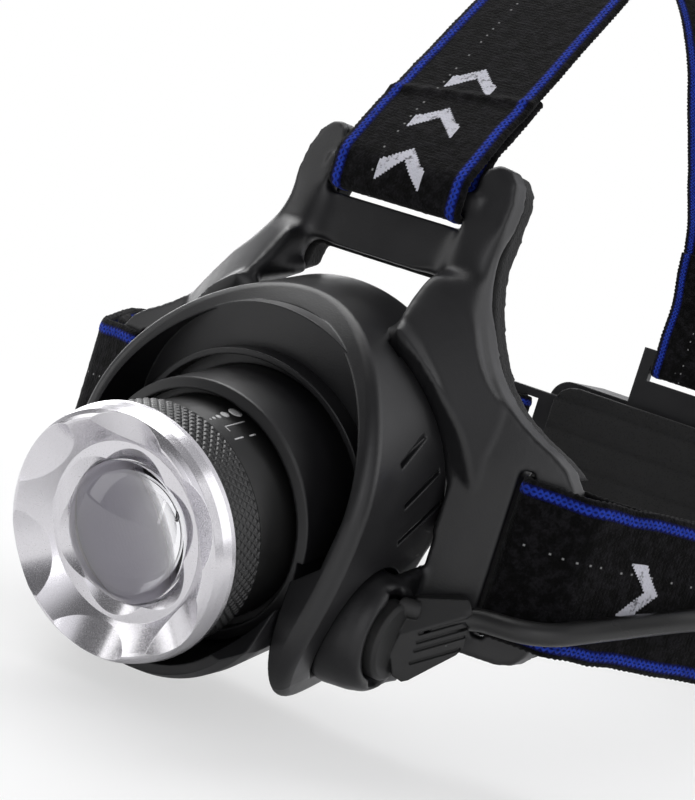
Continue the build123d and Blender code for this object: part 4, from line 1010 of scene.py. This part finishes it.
def light_studio():
    """Soft lights above, at both sides and behind, in a room that is pale behind the lamp and towards the
    camera, and dark elsewhere in front. Seen straight, the room is white."""
    softbox("overhead softbox", (-0.50, 0.10, 0.95), (0, -0.10, 0), 0.9, 0.7, 8.0)
    softbox("left softbox", (-1.05, -0.65, 0.45), (0, -0.12, 0), 0.6, 0.9, 2.8)
    softbox("right rim softbox", (0.75, 0.35, 0.55), (0, -0.08, 0.02), 0.5, 0.9, 1.6)
    softbox("back softbox", (-0.95, 1.00, 0.32), (0, -0.12, 0), 0.9, 0.5, 5.0)
    softbox("right strip", (0.55, -0.95, 0.40), (0, -0.14, 0), 0.07, 0.6, 0.5)
    world = bpy.data.worlds.new("studio")
    bpy.context.scene.world = world
    world.use_nodes = True
    tree = world.node_tree
    tree.nodes.clear()
    towards = put(tree, "TexCoord").outputs["Generated"]
    backwards = put(tree, "SeparateXYZ", Vector=towards).outputs[1]
    behind = remap(tree, backwards, -0.15, 0.75, 0.17, 0.80)
    towards_eye = vector_step(tree, "DOT_PRODUCT", towards, (0.66, -0.72, 0.22))
    front = remap(tree, towards_eye, 0.66, 0.92, 0.0, 0.85)
    ambient = put(tree, "Background", Color=(0.97, 0.97, 1.0, 1.0), Strength=calc(tree, "ADD", behind, front))
    white = put(tree, "Background", Color=grey(1.0), Strength=1.0)
    _, straight = ray_kinds(tree)
    out = tree.nodes.new("ShaderNodeOutputWorld")
    feed(tree, out.inputs[0], mix_shader(tree, straight, ambient.outputs[0], white.outputs[0]))


def lay_floor():
    """Pale floor under the object, faded into the white backdrop away from it and clear from below. In
    reflections it
    glows white, less near the object: painted light, with a painted shadow under the lamp.
    """
    drop, reach = 0.0006, 3.0
    low = cad_low.z - drop
    square = reach * np.array([[-1, -1, 0], [1, -1, 0], [1, 1, 0], [-1, 1, 0]]) + [0, 0, low]
    floor = mesh_object("studio_floor", square, np.array([[0, 1, 2, 3]]), smooth=False)
    material, tree, surface, place = new_material("floor paint", Roughness=0.9)
    surface.inputs["Base Color"].default_value = grey(0.9)
    away = vector_step(tree, "DISTANCE", place, (0.0, -0.06, float(low)))
    fade = remap(tree, away, 0.10, 0.34, 0.55, 1.0)
    # painted light: glossy rays see the floor glow white, and less of it near the object as a painted shadow
    # there
    glow_in_reflections = remap(tree, away, 0.05, 0.36, 0.05, 0.85)
    rays, straight = ray_kinds(tree)
    white = put(tree, "Emission", Color=grey(1.0), Strength=1.0)
    reflected_glow = times(tree, rays["Is Glossy Ray"], glow_in_reflections)
    white_share = calc(tree, "MAXIMUM", times(tree, straight, fade), reflected_glow)
    faded = mix_shader(tree, white_share, surface.outputs[0], white.outputs[0])
    from_below = tree.nodes.new("ShaderNodeNewGeometry").outputs["Backfacing"]
    clear = put(tree, "BsdfTransparent", Color=grey(1.0))
    one_sided = mix_shader(tree, from_below, faded, clear.outputs[0])
    feed(tree, tree.nodes["Material Output"].inputs[0], one_sided)
    floor.data.materials.append(material)


aim_camera()
light_studio()
lay_floor()


# ---- view transform
bpy.context.scene.view_settings.view_transform = "Standard"
